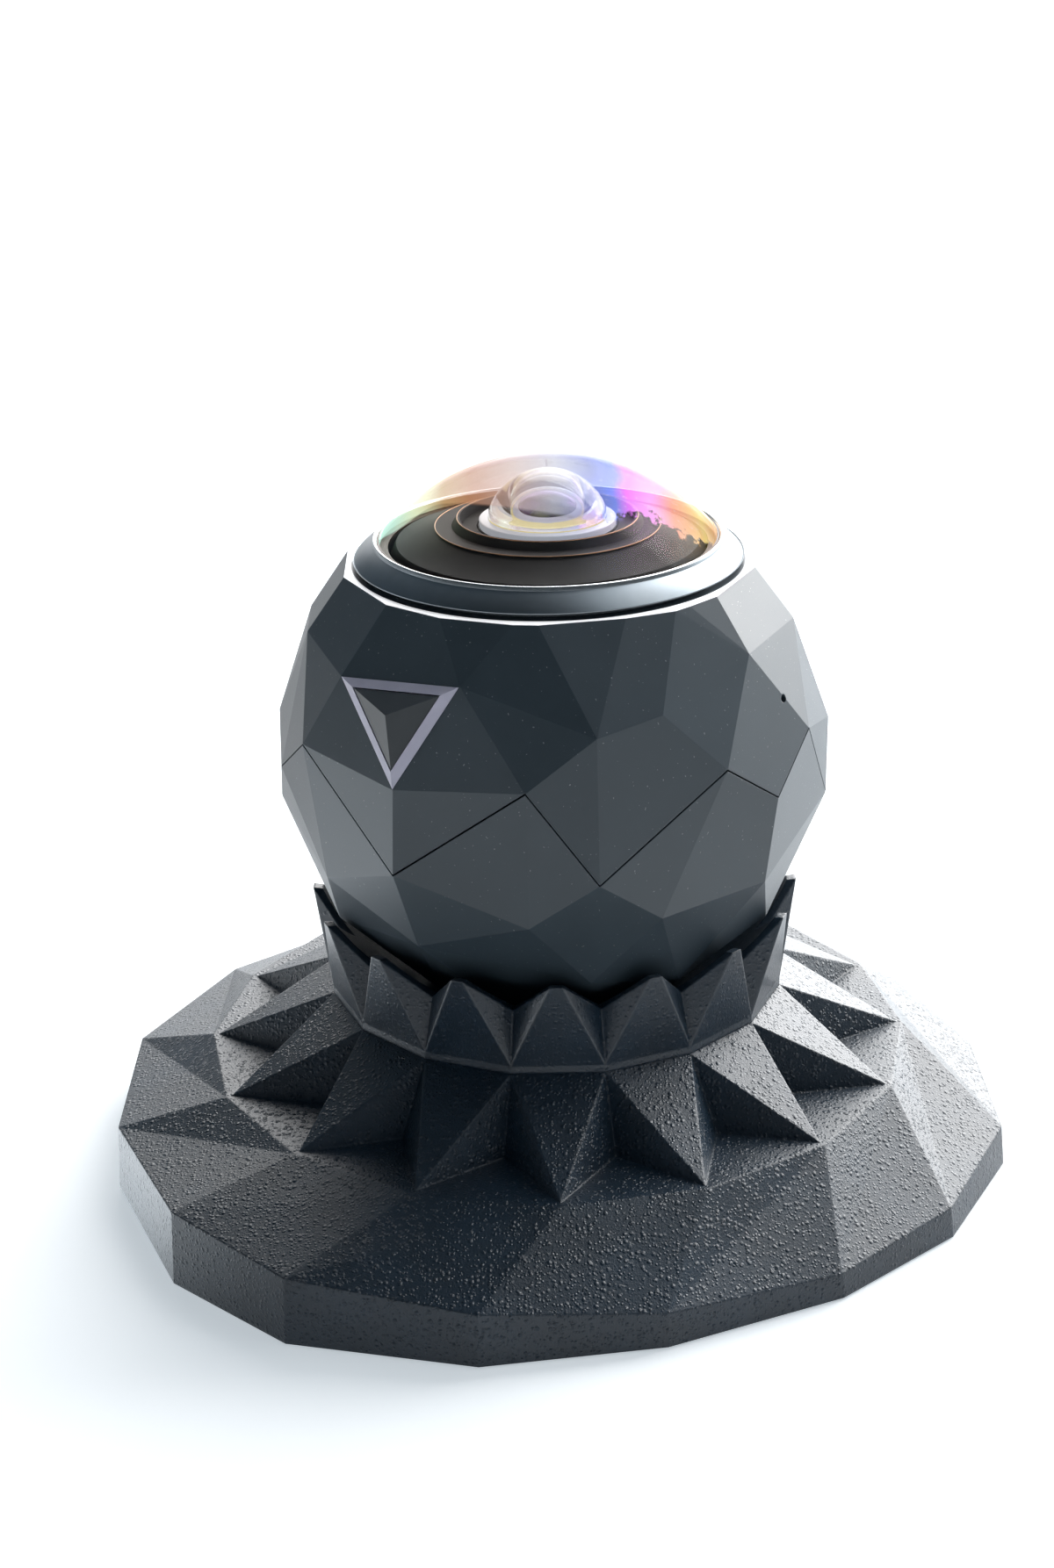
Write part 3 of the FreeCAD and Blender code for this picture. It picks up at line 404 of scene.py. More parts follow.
def resin_finish(look, name, grain_depth, lump_depth, patch):
    """Cast charcoal resin: fine grain with scattered granules and pits, heights in millimetres."""
    material, paint = new_finish(name)
    where = paint.place()
    grain = paint.noise(where, 0.22, 3.0, 0.65)
    coarse = lumps(paint, where, grain, size=0.6, share=0.5)
    small = lumps(paint, where, grain, size=0.36, share=0.4)
    pits = paint.noise(where, 0.6, 1.0).over(0.66, 0.72)
    stain = paint.noise(where, 8.0, 3.0)
    lighter = tuple(c * patch for c in look.resin_colour)
    colour = paint.blend(stain.over(0.3, 0.75), look.resin_colour, lighter)
    colour = paint.blend(grain.over(0.58, 0.72) * 0.08, colour, (0.10, 0.11, 0.12))
    fine = paint.bump(grain, grain_depth, paint.eased(0.35))
    normal = paint.bump(coarse + small * 0.6 - pits * 0.4, lump_depth, fine)
    paint.finish(paint.principled(
        Base_Color=colour, Roughness=0.28 + grain * 0.12, Normal=normal, IOR=1.55))
    return material


def plain_finish(name, colour, roughness, grain=0.12, depth=0.004, **more):
    """A quiet finish: slight drift of colour, fine grain, and uneven gloss."""
    material, paint = new_finish(name)
    where = paint.place()
    drift = paint.noise(where, 4.0, 3.0)
    fine = paint.noise(where, grain)
    shade = paint.blend(drift.over(0.25, 0.75), tuple(c * 0.88 for c in colour), colour)
    paint.finish(paint.principled(
        Base_Color=shade, Roughness=roughness - 0.04 + fine * 0.08,
        Normal=paint.bump(fine, depth), **more))
    return material


def bezel_finish(look):
    """Satin metal with a fine blast and a painted highlight along its upper inner edge, made paler and
    glossier there.
    """
    material, paint = new_finish("satin_gunmetal")
    where = paint.place()
    fine = paint.noise(where, 0.07)
    drift = paint.noise(where, 3.0, 3.0)
    height = paint.axis(where, "Z")
    # Painted highlight: the upper inner edge is paled and made glossier where it catches light.
    inside = 1 - paint.reach(where).over(BEZEL_CREST + 0.06, BEZEL_CREST + 0.2)
    edge = height.over(look.bezel_top - 0.12, look.bezel_top) * inside
    darker = tuple(c * 0.92 for c in look.bezel_colour)
    colour = paint.blend(drift.over(0.3, 0.7), darker, look.bezel_colour)
    colour = paint.blend(edge, colour, (0.8, 0.82, 0.83))
    paint.finish(paint.principled(
        Base_Color=colour, Metallic=1.0, Roughness=0.33 + fine * 0.07 - edge * 0.1,
        Normal=paint.bump(fine, 0.003)))
    return material


# The colours that the dome's coating sends back, from its left rim to its right one; they also colour the
# painted reflection of the sky that glows on the dome's rear
FILM = [
    (0.0, (0.52, 0.86, 0.74)),
    (0.05, (0.56, 0.84, 0.70)),
    (0.12, (0.80, 0.86, 0.56)),
    (0.19, (0.52, 0.34, 0.16)),
    (0.28, (0.46, 0.22, 0.12)),
    (0.40, (0.50, 0.36, 0.32)),
    (0.52, (0.46, 0.46, 0.54)),
    (0.62, (0.20, 0.24, 0.52)),
    (0.69, (0.22, 0.30, 0.85)),
    (0.735, (0.85, 0.25, 1.0)),
    (0.80, (1.0, 0.45, 0.95)),
    (0.87, (1.0, 0.48, 0.36)),
    (0.95, (1.0, 0.80, 0.34)),
    (1.0, (0.80, 0.45, 0.20)),
]


def skyline(paint, where, across):
    """1 on the rear of the dome, where the sky's reflection is painted, down to a bowed and ragged edge.
    """
    middle, bow, front = 3.5, 0.03, -11.6
    dip, roof, teeth = 4.0, 1.5, 7.0
    edge = (across - middle) * (across - middle) * bow + front
    edge = edge - across.over(-11.0, -17.0) * dip
    edge = edge + (across.over(6.0, 9.0) - across.over(11.0, 14.0)) * roof
    ragged = (paint.noise(where, 1.6, 4.0, 0.7) - 0.5) * across.over(1.0, 7.0) * teeth
    return (paint.axis(where, "Y") - edge + ragged).over(-0.3, 0.4)


def dome_finish(look):
    """Clear glass under a thin coating whose colour runs from side to side, with a painted reflection of
    the sky glowing in the coating's colours on its rear.
    """
    material, paint = new_finish("coated_dome_glass")
    where = paint.place()
    across = paint.axis(where, "X")
    reach = ends("dome_cover")[0]
    swirl = paint.noise(where, 7.0) - 0.5
    film = paint.ramp((across + swirl * 2.5 + reach) / (2 * reach), FILM)
    streak = paint.noise(where, 0.5, 2.0, 0.7).over(0.6, 0.72) * across.over(2.0, 8.0)
    film = paint.blend(streak * 0.3, film, (1.0, 0.95, 1.0))
    # Painted reflection of the sky: on the rear of the dome the surface turns opaque and glows in the
    # coating's colours.
    veil = skyline(paint, where, across)
    rim = paint.facing(0.5)
    paint.finish(paint.principled(
        Base_Color=paint.scaled(film, look.film_share), Metallic=1.0, Roughness=0.02,
        Alpha=(look.dome_gloss + (rim ** 3.0) * 0.12 + veil * look.film_veil).clamp(),
        Specular_Tint=rgba((0.3, 0.3, 0.33)),
        Emission_Color=paint.scaled(film, veil), Emission_Strength=look.film_glow))
    return material


def glass_finish(name, tint, strength, edge):
    """A clear surface that only mirrors, a little more towards its rim."""
    material, paint = new_finish(name)
    smear = paint.noise(paint.place(), 3.0)
    rim = paint.facing(0.4)
    alpha = (strength * (smear + 0.5) + (rim ** 2.0) * edge).clamp()
    paint.finish(paint.principled(Base_Color=rgba(tint), Metallic=1.0, Roughness=0.02, Alpha=alpha))
    return material


def clear_glass(name):
    """Clear heavy glass with a painted reflection of the sky glowing on its crown and a painted highlight
    glowing along its outline.
    """
    material, paint = new_finish(name)
    where = paint.place()
    smear = paint.noise(where, 2.0)
    rim = paint.facing(0.4)
    top = ends("front_element")[2]
    # Painted reflection and highlight: the crown glows white where the sky would show, and the outline
    # glows as well.
    crown = paint.axis(where, "Z").over(top - 0.75, top - 0.5)
    sky = crown * (paint.axis(where, "Y") + smear).over(-2.4, -1.2)
    paint.finish(paint.principled(
        Base_Color=rgba((0.97, 0.98, 1.0)), Roughness=smear * 0.02, IOR=1.8, Transmission_Weight=1.0,
        Emission_Color=paint.blend((sky * 0.5 + (rim ** 6.0) * 0.5).clamp(), BLACK, WHITE),
        Emission_Strength=0.5))
    return material


def pupil_finish():
    """Dark depth of the second element, with painted glints of its coatings' green and violet and a
    painted shine of the sky.
    """
    material, paint = new_finish("coated_pupil")
    where = paint.place()
    swirl = paint.noise(where, 2.5, 1.0)
    # Painted glints: green and violet patches of the coatings' reflections, in the colour.
    colour = paint.ramp(swirl, [
        (0.35, (0.10, 0.02, 0.16)),
        (0.5, (0.01, 0.01, 0.015)),
        (0.62, (0.10, 0.14, 0.02)),
    ])
    # Painted reflection: the sky's shine glows on the element's rear part.
    sky = (paint.axis(where, "Y") + swirl * 1.5).over(0.4, 1.4)
    paint.finish(paint.principled(
        Base_Color=colour, Roughness=0.06, IOR=1.6, Coat_Weight=0.6, Coat_Tint=rgba((0.8, 0.6, 1.0)),
        Emission_Color=paint.blend(sky, BLACK, (0.85, 0.78, 0.95)), Emission_Strength=0.5))
    return material


# Sizes and colours that a user would change

class BallLook(bpy.types.PropertyGroup):
    shell_colour: bpy.props.FloatVectorProperty(
        name="Shell colour", description="Colour of both halves of the shell",
        default=(0.030, 0.044, 0.056), subtype="COLOR", min=0, max=1)
    shell_grain: bpy.props.FloatProperty(
        name="Shell grain", description="Height of the shell's fine grain, in millimetres",
        default=0.006, min=0, max=0.1)
    # The shell's pale lip is a painted highlight; this height of the shell's flat top also seats the
    # bezel.
    lip_height: bpy.props.FloatProperty(
        name="Lip height", description="Height of the shell's pale lip round the bezel, in millimetres",
        default=68.65)
    bezel_colour: bpy.props.FloatVectorProperty(
        name="Bezel colour", description="Colour of the metal ring round the dome",
        default=(0.20, 0.225, 0.245), subtype="COLOR", min=0, max=1)
    # The bezel's painted highlight lies just under this height.
    bezel_top: bpy.props.FloatProperty(
        name="Bezel top", description="Height at which the bezel's slope ends, in millimetres",
        default=71.25)
    guide_colour: bpy.props.FloatVectorProperty(
        name="Button frame colour", description="Colour of the light guide round the button",
        default=(0.50, 0.49, 0.60), subtype="COLOR", min=0, max=1)
    cap_colour: bpy.props.FloatVectorProperty(
        name="Button colour", description="Colour of the button's raised middle",
        default=(0.05, 0.056, 0.062), subtype="COLOR", min=0, max=1)


class LensLook(bpy.types.PropertyGroup):
    dome_gloss: bpy.props.FloatProperty(
        name="Dome gloss", description="How much the dome mirrors where it is seen square on",
        default=0.04, min=0, max=1, subtype="FACTOR")
    film_share: bpy.props.FloatProperty(
        name="Film share", description="Share of the light that the dome's coating sends back",
        default=0.08, min=0, max=1, subtype="FACTOR")
    # The veil and the glow paint the sky's reflection onto the dome's rear.
    film_veil: bpy.props.FloatProperty(
        name="Film veil", description="How much the coating hides behind its bright part",
        default=0.46, min=0, max=1, subtype="FACTOR")
    film_glow: bpy.props.FloatProperty(
        name="Film glow", description="Brightness of the sky that the coating sends back",
        default=1.2, min=0, max=5)
    deck_colour: bpy.props.FloatVectorProperty(
        name="Deck colour", description="Colour of the stepped dish under the dome",
        default=(0.04, 0.038, 0.036), subtype="COLOR", min=0, max=1)
    # The fine bright edges of the dish are painted highlights: thin copper-coloured metal rings on its
    # steps.
    edge_highlight_colour: bpy.props.FloatVectorProperty(
        name="Edge colour", description="Colour of the fine bright edges of the dish",
        default=(0.35, 0.19, 0.10), subtype="COLOR", min=0, max=1)
    cone_colour: bpy.props.FloatVectorProperty(
        name="Cone colour", description="Colour of the pale cone under the front element",
        default=(0.80, 0.69, 0.34), subtype="COLOR", min=0, max=1)


class StandLook(bpy.types.PropertyGroup):
    resin_colour: bpy.props.FloatVectorProperty(
        name="Resin colour", description="Colour of the spiked cradle and its foot",
        default=(0.006, 0.015, 0.026), subtype="COLOR", min=0, max=1)


class StageLook(bpy.types.PropertyGroup):
    distance: bpy.props.FloatProperty(
        name="Distance", description="How far the camera stands from the object's axis",
        default=0.30205, unit="LENGTH")
    rise: bpy.props.FloatProperty(
        name="Rise", description="Angle at which the camera looks down",
        default=math.radians(22.10), subtype="ANGLE")
    pan: bpy.props.FloatProperty(
        name="Pan", description="Turn of the camera to its right",
        default=math.radians(-0.541), subtype="ANGLE")
    roll: bpy.props.FloatProperty(
        name="Roll", description="Tilt of the camera about its line of sight",
        default=math.radians(-1.098), subtype="ANGLE")
    aim: bpy.props.FloatProperty(
        name="Aim", description="Height on the axis at which the camera looks",
        default=0.042445, unit="LENGTH")
    lens: bpy.props.FloatProperty(
        name="Lens", description="Focal length on a 36 mm wide sensor, in millimetres",
        default=92.70)


def look(name):
    """A group of the scene's settings."""
    return getattr(bpy.context.scene, name)


# Pieces

class BALLCAM_OT_shell(bpy.types.Operator):
    """Finishes the two halves of the shell, the seal between them and the base cap"""
    bl_idname = "ballcam.shell"
    bl_label = "Shell"

    def execute(self, context):
        ball = look("ball_look")
        wear(shell_finish(ball), "upper_shell", "lower_shell")
        seal = plain_finish("soft_black_seal", (0.006, 0.006, 0.007), 0.75)
        wear(seal, "parting_seal", "mic_boot")
        wear(plain_finish("grey_cap", (0.05, 0.055, 0.06), 0.5), "base_cap")
        return {"FINISHED"}


class BALLCAM_OT_bezel(bpy.types.Operator):
    """Turns the metal ring round the dome, and finishes the thin seal inside it"""
    bl_idname = "ballcam.bezel"
    bl_label = "Bezel"

    def execute(self, context):
        ball = look("ball_look")
        reach, foot, top = ends("lens_bezel")
        seal_reach, seal_foot, seal_top = ends("dome_seal")
        seat = ball.lip_height
        sleeve, hem, bore = 19.2, 20.0, 17.2
        slope_middle, slope = (13.83, 63.13), 9.37
        brim, crest = 0.12, 0.17
        profile = [(sleeve, foot), (sleeve, seat), (hem, seat), (hem, seat + 0.4)]
        profile += [(reach - 0.1, seat + 0.57)]
        profile += arc((reach - brim, seat + 0.69), brim, -60, 30, 3)
        profile += arc(slope_middle, slope, 41.2, 57.4, 10)
        profile += arc((BEZEL_CREST, top - crest), crest, 20, 160, 7)
        profile += [(seal_reach + 0.05, seal_top), (seal_reach, seal_foot), (bore, seal_foot)]
        profile += [(bore, foot), (sleeve, foot)]
        ring = turned("bezel_ring", profile, sharp=40, sides=RIM_SIDES)
        dress(ring, bezel_finish(ball))
        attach(ring, "camera")
        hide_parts("lens_bezel")
        wear(plain_finish("brown_seal", (0.10, 0.052, 0.034), 0.45), "dome_seal")
        return {"FINISHED"}


class BALLCAM_OT_dome(bpy.types.Operator):
    """Turns the clear dome over the lens"""
    bl_idname = "ballcam.dome"
    bl_label = "Dome"

    def execute(self, context):
        reach, foot, top = ends("dome_cover")
        seal_gap, rise, wall, steps = 0.05, 8.2, 0.9, 40
        rim = reach - seal_gap
        outline, middle, outer = cap(rim, rise, top, DOME_END, steps)
        inner = outer - wall
        inner_start = math.asin((foot - middle) / inner)
        profile = [(inner * math.cos(inner_start), foot), (rim, foot)] + outline
        profile += arc((0, middle), inner, DOME_END, math.degrees(inner_start), steps)
        dome = turned("dome_glass", profile, sharp=50)
        dress(dome, dome_finish(look("lens_look")),
              glass_finish("dome_inner_glass", WHITE, strength=0.003, edge=0.015))
        for face in dome.data.polygons:
            away = math.hypot(face.center.x, face.center.y, face.center.z - middle * MM) / MM
            face.material_index = 1 if away < outer - wall / 2 else 0
        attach(dome, "camera")
        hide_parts("dome_cover")
        return {"FINISHED"}


class BALLCAM_OT_deck(bpy.types.Operator):
    """Turns the stepped dish under the dome, with its two bright edges as painted highlights: thin
    copper-coloured rings on its steps
    """
    bl_idname = "ballcam.deck"
    bl_label = "Deck"

    def execute(self, context):
        lens = look("lens_look")
        reach, foot, top = ends("lens_deck")
        well = ends("front_ring")[1]
        step, step_top = 12.1, 72.6
        crest, bore = 9.75, 7.6
        profile = [(reach, foot), (reach, foot + 1.0), (reach - 0.8, foot + 2.6)]
        profile += [(step + 0.04, step_top - 0.25), (step, step_top - 0.22), (step, step_top)]
        profile += [(crest + 0.55, step_top), (crest + 0.03, top - 0.08), (crest, top)]
        profile += [(crest - 0.3, top), (crest - 0.55, well), (bore, well), (bore, foot), (reach, foot)]
        dish = turned("deck_dish", profile, sharp=40, sides=FINE_SIDES)
        dress(dish, plain_finish("dark_deck", tuple(lens.deck_colour), 0.5, IOR=1.2))
        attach(dish, "camera")
        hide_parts("lens_deck")
        # Painted highlights: thin copper-coloured metal rings on the two step edges stand in for the light
        # those edges catch.
        edge_highlight_finish = plain_finish("copper_coloured_edge_highlight", tuple(lens.edge_highlight_colour), 0.3, Metallic=1.0)
        wire = 0.06
        places = {
            "deck_edge_outer": (step, step_top - 0.02),
            "deck_edge_inner": (crest - 0.03, top - 0.03),
        }
        for name, place in places.items():
            edge = turned(name, arc(place, wire, 0, 360, 8), sharp=60, sides=FINE_SIDES)
            dress(edge, edge_highlight_finish)
            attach(edge, "camera")
        return {"FINISHED"}


class BALLCAM_OT_lens(bpy.types.Operator):
    """Turns the front element, its ring, its cone and the second element, and finishes what is behind"""
    bl_idname = "ballcam.lens"
    bl_label = "Lens"

    def execute(self, context):
        self.make_element()
        self.make_collar()
        self.make_cone(tuple(look("lens_look").cone_colour))
        self.make_second()
        purple = glass_finish("deep_glass_coat", (0.75, 0.4, 0.95), strength=0.3, edge=0.5)
        wear(purple, "third_element", "rear_element", "ir_filter")
        wear(plain_finish("matt_barrel_black", (0.008, 0.008, 0.008), 0.6),
             "lens_barrel", "aperture_stop", "lens_spacers", "sensor_holder", "button_housing")
        return {"FINISHED"}

    def make_element(self):
        """The thick front lens, hollowed from below."""
        reach, _, top = ends("front_element")
        foot, bulge, hollow, steps = 73.45, 4.3, 4.4, 28
        outline, _, _ = cap(reach, bulge, top, LENS_END, steps)
        profile = [(hollow, foot), (reach, foot)] + outline
        profile += arc((0, foot + 0.05), hollow, LENS_END, 0, steps)
        profile += [(hollow, foot)]
        element = turned("front_glass", profile, sharp=50, sides=LENS_SIDES)
        dress(element, clear_glass("front_glass_clear"))
        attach(element, "camera")
        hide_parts("front_element")

    def make_collar(self):
        """The pale ring that holds the front lens, brightened by a painted glow."""
        reach, foot, top = ends("front_ring")
        gap, brim, hem = 0.02, 0.14, 0.1
        bore = ends("front_element")[0] + 2 * gap
        profile = [(bore, foot + gap), (reach - gap, foot + gap)]
        profile += arc((reach - brim, top - 0.2), brim, 0, 80, 4)
        profile += arc((bore + hem, top - hem), hem, 90, 180, 4)
        profile += [(bore, foot + gap)]
        ring = turned("front_collar", profile, sharp=40)
        # Painted light: the ring glows faintly, brighter than its lighting makes it.
        dress(ring, plain_finish("pale_satin_ring", (0.66, 0.68, 0.70), 0.3, grain=0.25, depth=0.02,
                                 Emission_Color=rgba((0.85, 0.9, 1.0)), Emission_Strength=0.3))
        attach(ring, "camera")
        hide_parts("front_ring")

    def make_cone(self, colour):
        """The pale cone under the front lens, with a paler land on top, both brightened by a painted glow.
        """
        reach, foot, top = ends("baffle_ring")
        front_reach, front_foot, _ = ends("front_element")
        second_reach, second_foot, _ = ends("second_element")
        bore, brim = 2.8, front_reach - 0.05
        seat = second_reach + 0.02
        profile = [(bore, foot), (reach, foot), (reach, front_foot)]
        profile += [(brim, front_foot + 0.05), (brim, front_foot + 0.9)]
        profile += [(4.2, top - 0.35), (4.1, top - 0.13)]
        profile += arc((3.85, top - 0.15), 0.2, 20, 90, 4)
        profile += [(seat, top), (seat, second_foot), (bore, second_foot), (bore, foot)]
        cone = turned("baffle_cone", profile, sharp=40)
        # Painted light: the cone and its land glow, brighter than their lighting makes them.
        dress(cone, plain_finish("pale_cone", colour, 0.45,
                                 Emission_Color=rgba(colour), Emission_Strength=0.5),
              plain_finish("pale_land", (0.6, 0.6, 0.64), 0.35,
                           Emission_Color=rgba((0.9, 0.85, 1.0)), Emission_Strength=0.25))
        for face in cone.data.polygons:
            if face.center.z > (top - 0.17) * MM:
                face.material_index = 1
        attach(cone, "camera")
        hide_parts("baffle_ring")

    def make_second(self):
        """The small second lens, whose dark depth is the pupil."""
        reach, foot, top = ends("second_element")
        bulge, dent = 1.0, 0.4
        outline, _, _ = cap(reach, bulge, top, LENS_END, 14)
        profile = [(LAST_RADIUS, foot + dent), (reach, foot)] + outline + [(LAST_RADIUS, foot + dent)]
        second = turned("second_glass", profile, sharp=50, sides=LENS_SIDES)
        dress(second, pupil_finish())
        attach(second, "camera")
        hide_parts("second_element")


class BALLCAM_OT_button(bpy.types.Operator):
    """Draws the button's sloping frame and its peaked middle on the shell's facet"""
    bl_idname = "ballcam.button"
    bl_label = "Button"

    def execute(self, context):
        ball = look("ball_look")
        depth, wall, brim, opening = -1.2, 0.5, 0.06, 1.05
        profile = [(wall, depth), (wall, 0.03), (brim, 0.03), (brim, 0.1)]
        profile += [(opening, 0.62), (opening, depth), (wall, depth)]
        rim = raised("button_frame", profile)
        dress(rim, plain_finish("frosted_guide", tuple(ball.guide_colour), 0.32, grain=0.2,
                                Subsurface_Weight=0.15, Subsurface_Radius=(0.001, 0.001, 0.0012)))
        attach(rim, "camera")
        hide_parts("light_guide")
        inset = opening + 0.1
        middle = raised("button_pyramid", [(inset, depth), (inset, 0.58)], peak=2.0)
        dress(middle, plain_finish("button_satin", tuple(ball.cap_colour), 0.34))
        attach(middle, "button")
        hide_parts("button_cap")
        return {"FINISHED"}


class BALLCAM_OT_stand(bpy.types.Operator):
    """Finishes the toothed cradle, its star-topped foot and the metal pieces"""
    bl_idname = "ballcam.stand"
    bl_label = "Stand"

    def execute(self, context):
        stand = look("stand_look")
        wear(resin_finish(stand, "fine_charcoal_resin", 0.016, 0.025, 1.4), "cradle_crown")
        wear(resin_finish(stand, "coarse_charcoal_resin", 0.05, 0.10, 1.5), "base_foot")
        rubber = plain_finish("foot_rubber", (0.012, 0.012, 0.013), 0.8, grain=0.4, depth=0.02)
        wear(rubber, "foot_pad", "seat_ring")
        steel = plain_finish("zinc_steel", (0.48, 0.49, 0.5), 0.35, Metallic=1.0)
        wear(steel, "ballast_plate", "crown_screws", "cap_screws", "board_screws", "chassis_screws",
             "shield_can", "vibration_motor")
        return {"FINISHED"}


class BALLCAM_OT_inside(bpy.types.Operator):
    """Finishes the boards, battery and frame inside the ball"""
    bl_idname = "ballcam.inside"
    bl_label = "Inside"

    def execute(self, context):
        wear(plain_finish("frame_grey", (0.07, 0.07, 0.075), 0.55), "chassis", "battery_tray")
        wear(plain_finish("green_board", (0.015, 0.10, 0.04), 0.35),
             "main_board", "sensor_board", "button_board")
        wear(plain_finish("chip_black", (0.02, 0.02, 0.021), 0.45),
             "image_sensor", "radio_module", "antenna", "microphone", "button_switch")
        wear(plain_finish("bare_sheet", (0.7, 0.7, 0.71), 0.3, Metallic=1.0), "heat_spreader")
        wear(plain_finish("silver_pouch", (0.4, 0.41, 0.43), 0.4), "battery")
        wear(plain_finish("bare_brass", (0.72, 0.5, 0.22), 0.3, Metallic=1.0),
             "tripod_insert", "contact_pads")
        return {"FINISHED"}


class BALLCAM_OT_stage(bpy.types.Operator):
    """Sets up the pale floor, the soft lamps, the surroundings and the camera"""
    bl_idname = "ballcam.stage"
    bl_label = "Stage"

    def execute(self, context):
        self.make_floor()
        self.make_world()
        self.add_lamp()
        self.add_camera(look("stage_look"))
        context.scene.view_settings.view_transform = "Standard"
        return {"FINISHED"}

    def make_floor(self):
        """A matt pale table that also glows, most of all in the mirror images on the object."""
        clear_selection()
        bpy.ops.mesh.primitive_plane_add(size=8.0, location=(0, 0, 0))
        floor = bpy.context.object
        floor.name = "floor"
        bpy.ops.object.transform_apply(location=True, rotation=True, scale=True)
        material, paint = new_finish("white_table")
        path = paint.node("ShaderNodeLightPath")
        mirrored = path["Is Glossy Ray"] * self.table_in_mirrors(paint)
        share = (path["Is Camera Ray"] * 0.2 + path["Is Diffuse Ray"] * 0.15 + mirrored).clamp()
        matt = paint.principled(Base_Color=rgba((0.8, 0.8, 0.8)), Roughness=0.9)
        glow = paint.light((0.86, 0.94, 1), 2.6)
        extra = paint.node("ShaderNodeMixShader", None, {0: share, 1: paint.light(WHITE, 0.0), 2: glow})[0]
        paint.finish(paint.node("ShaderNodeAddShader", None, {0: matt, 1: extra})[0])
        dress(floor, material)

    def table_in_mirrors(self, paint):
        """The share of the table's glow at each place that mirror images get."""
        where = paint.place()
        across, back = paint.axis(where, "X"), paint.axis(where, "Y")
        deeper = back.over(-40.0, 250.0) * 0.85 + 0.15
        far_right = 1 - across.over(60.0, 200.0) * 0.6
        left = across.over(-10.0, -60.0)
        beside = 0.12 + back.over(-50.0, -15.0) * 0.88 - back.over(0.0, 60.0) * 0.9
        return deeper * (1 - left) * far_right + left * beside + across.over(20.0, 60.0) * deeper * 0.35

    def make_world(self):
        """A dark room with a ragged window behind, one on the right, and white where it is seen."""
        world = bpy.context.scene.world or bpy.data.worlds.new("studio")
        bpy.context.scene.world = world
        world.use_nodes = True
        paint = Paint(world.node_tree)
        way = paint.node("ShaderNodeTexCoord")["Generated"]
        path = paint.node("ShaderNodeLightPath")
        noise = paint.node("ShaderNodeTexNoise", None, {"Vector": way, "Scale": 9.0, "Detail": 3.0})
        ragged = noise["Fac"] - 0.5
        across, back, rise = (paint.axis(way, name) for name in "XYZ")
        window = (across * 0.35 + back * 0.92 + rise * 0.33 + ragged * 0.10).over(0.70, 0.74)
        brighter = 0.18 + across.over(-0.4, 0.2) * 0.82 + across.over(0.1, 0.6) * 0.5
        beside = (across * 0.62 + rise * 0.78 + ragged * 0.06).over(0.86, 0.99)
        room = 0.07 + back.over(-0.3, 0.5) * 0.15
        light = room + window * brighter * 6.5 + beside * 2.4
        seen = (path["Is Camera Ray"] + path["Is Transmission Ray"]).clamp()
        strength = light * (1 - seen) * (1 - path["Is Diffuse Ray"] * 0.5) + seen
        colour = paint.blend((window + beside + seen).clamp(), (0.62, 0.82, 1.0), WHITE)
        shade = paint.node("ShaderNodeBackground", None, {"Color": colour, "Strength": strength})
        paint.finish(shade["Background"], "ShaderNodeOutputWorld")

    def add_lamp(self):
        """A wide lamp in front that fills the shadows without a mirror image of its own."""
        data = bpy.data.lights.new("fill_lamp", "AREA")
        data.shape = "RECTANGLE"
        data.size, data.size_y = 0.8, 0.6
        data.energy = 0.4
        data.color = (0.8, 0.9, 1.0)
        lamp = bpy.data.objects.new("fill_lamp", data)
        lamp.visible_glossy = False
        bpy.context.collection.objects.link(lamp)
        place, target = Vector((-0.1, -0.7, 0.5)), Vector((0, 0, 0.04))
        turn = (target - place).to_track_quat("-Z", "Y").to_matrix().to_4x4()
        lamp.matrix_world = Matrix.Translation(place) @ turn

    def add_camera(self, stage):
        """A camera on the plane in front of the axis, looking down, then panned and rolled."""
        rise, pan, roll = stage.rise, stage.pan, stage.roll
        place = Vector((0, -stage.distance * math.cos(rise), stage.aim + stage.distance * math.sin(rise)))
        ahead = Vector((0, math.cos(rise), -math.sin(rise)))
        right = Vector((1, 0, 0))
        up = right.cross(ahead)
        ahead, right = (ahead * math.cos(pan) + right * math.sin(pan),
                        right * math.cos(pan) - ahead * math.sin(pan))
        right, up = (right * math.cos(roll) + up * math.sin(roll),
                     up * math.cos(roll) - right * math.sin(roll))
        data = bpy.data.cameras.new("studio_camera")
        data.sensor_fit = "HORIZONTAL"
        data.sensor_width = 36
        data.lens = stage.lens
        data.clip_start = 0.01
        camera = bpy.data.objects.new("studio_camera", data)
        bpy.context.collection.objects.link(camera)
        turn = Matrix((right, up, -ahead)).transposed()
        camera.matrix_world = Matrix.Translation(place) @ turn.to_4x4()
        bpy.context.scene.camera = camera


class BALLCAM_PT_panel(bpy.types.Panel):
    """Lists the pieces and their settings"""
    bl_label = "Ball Camera"
    bl_idname = "BALLCAM_PT_panel"
    bl_space_type = "VIEW_3D"
    bl_region_type = "UI"
    bl_category = "Ball Camera"

    def draw(self, context):
        for operator in OPERATORS:
            self.layout.operator(operator.bl_idname)
        for name, group in LOOKS:
            box = self.layout.box()
            for field in group.__annotations__:
                box.prop(getattr(context.scene, name), field)


OPERATORS = (
    BALLCAM_OT_shell,
    BALLCAM_OT_bezel,
    BALLCAM_OT_dome,
    BALLCAM_OT_deck,
    BALLCAM_OT_lens,
    BALLCAM_OT_button,
    BALLCAM_OT_stand,
    BALLCAM_OT_inside,
    BALLCAM_OT_stage,
)
LOOKS = (
    ("ball_look", BallLook),
    ("lens_look", LensLook),
    ("stand_look", StandLook),
    ("stage_look", StageLook),
)


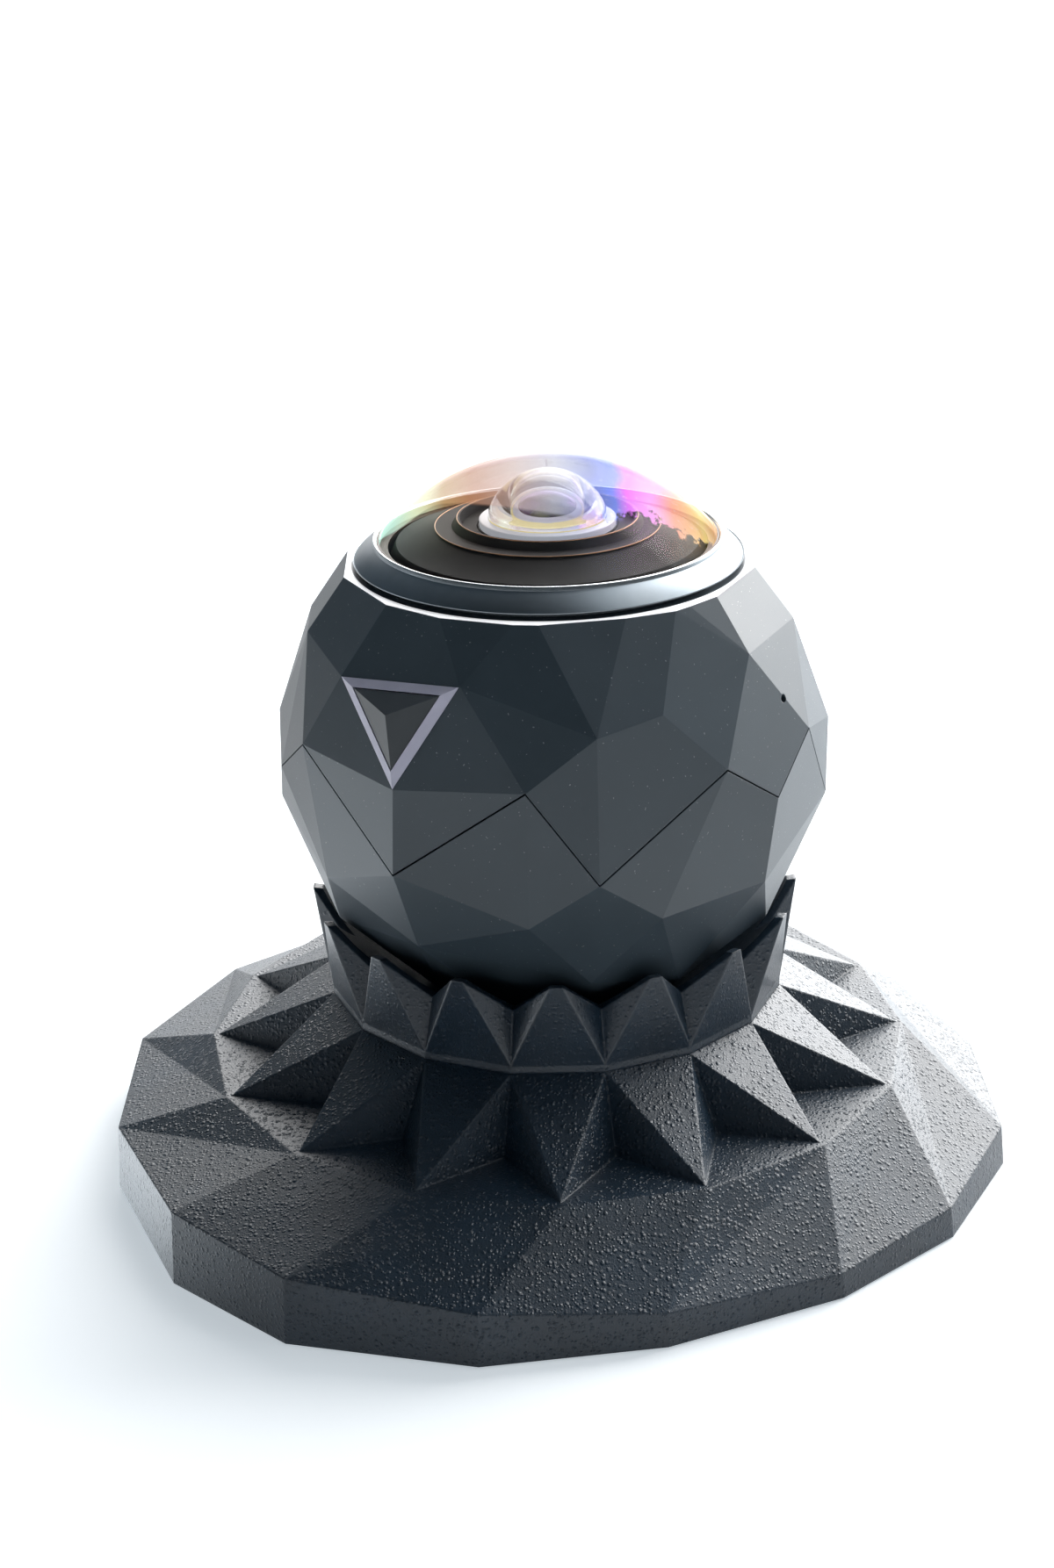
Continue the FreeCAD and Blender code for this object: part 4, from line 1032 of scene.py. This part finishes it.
def register():
    for name, group in LOOKS:
        bpy.utils.register_class(group)
        setattr(bpy.types.Scene, name, bpy.props.PointerProperty(type=group))
    for operator in OPERATORS:
        bpy.utils.register_class(operator)
    bpy.utils.register_class(BALLCAM_PT_panel)


def unregister():
    bpy.utils.unregister_class(BALLCAM_PT_panel)
    for operator in reversed(OPERATORS):
        bpy.utils.unregister_class(operator)
    for name, group in reversed(LOOKS):
        delattr(bpy.types.Scene, name)
        bpy.utils.unregister_class(group)


def main():
    register()
    bpy.ops.ballcam.shell()
    bpy.ops.ballcam.bezel()
    bpy.ops.ballcam.dome()
    bpy.ops.ballcam.deck()
    bpy.ops.ballcam.lens()
    bpy.ops.ballcam.button()
    bpy.ops.ballcam.stand()
    bpy.ops.ballcam.inside()
    bpy.ops.ballcam.stage()


if __name__ == "__main__":
    main()
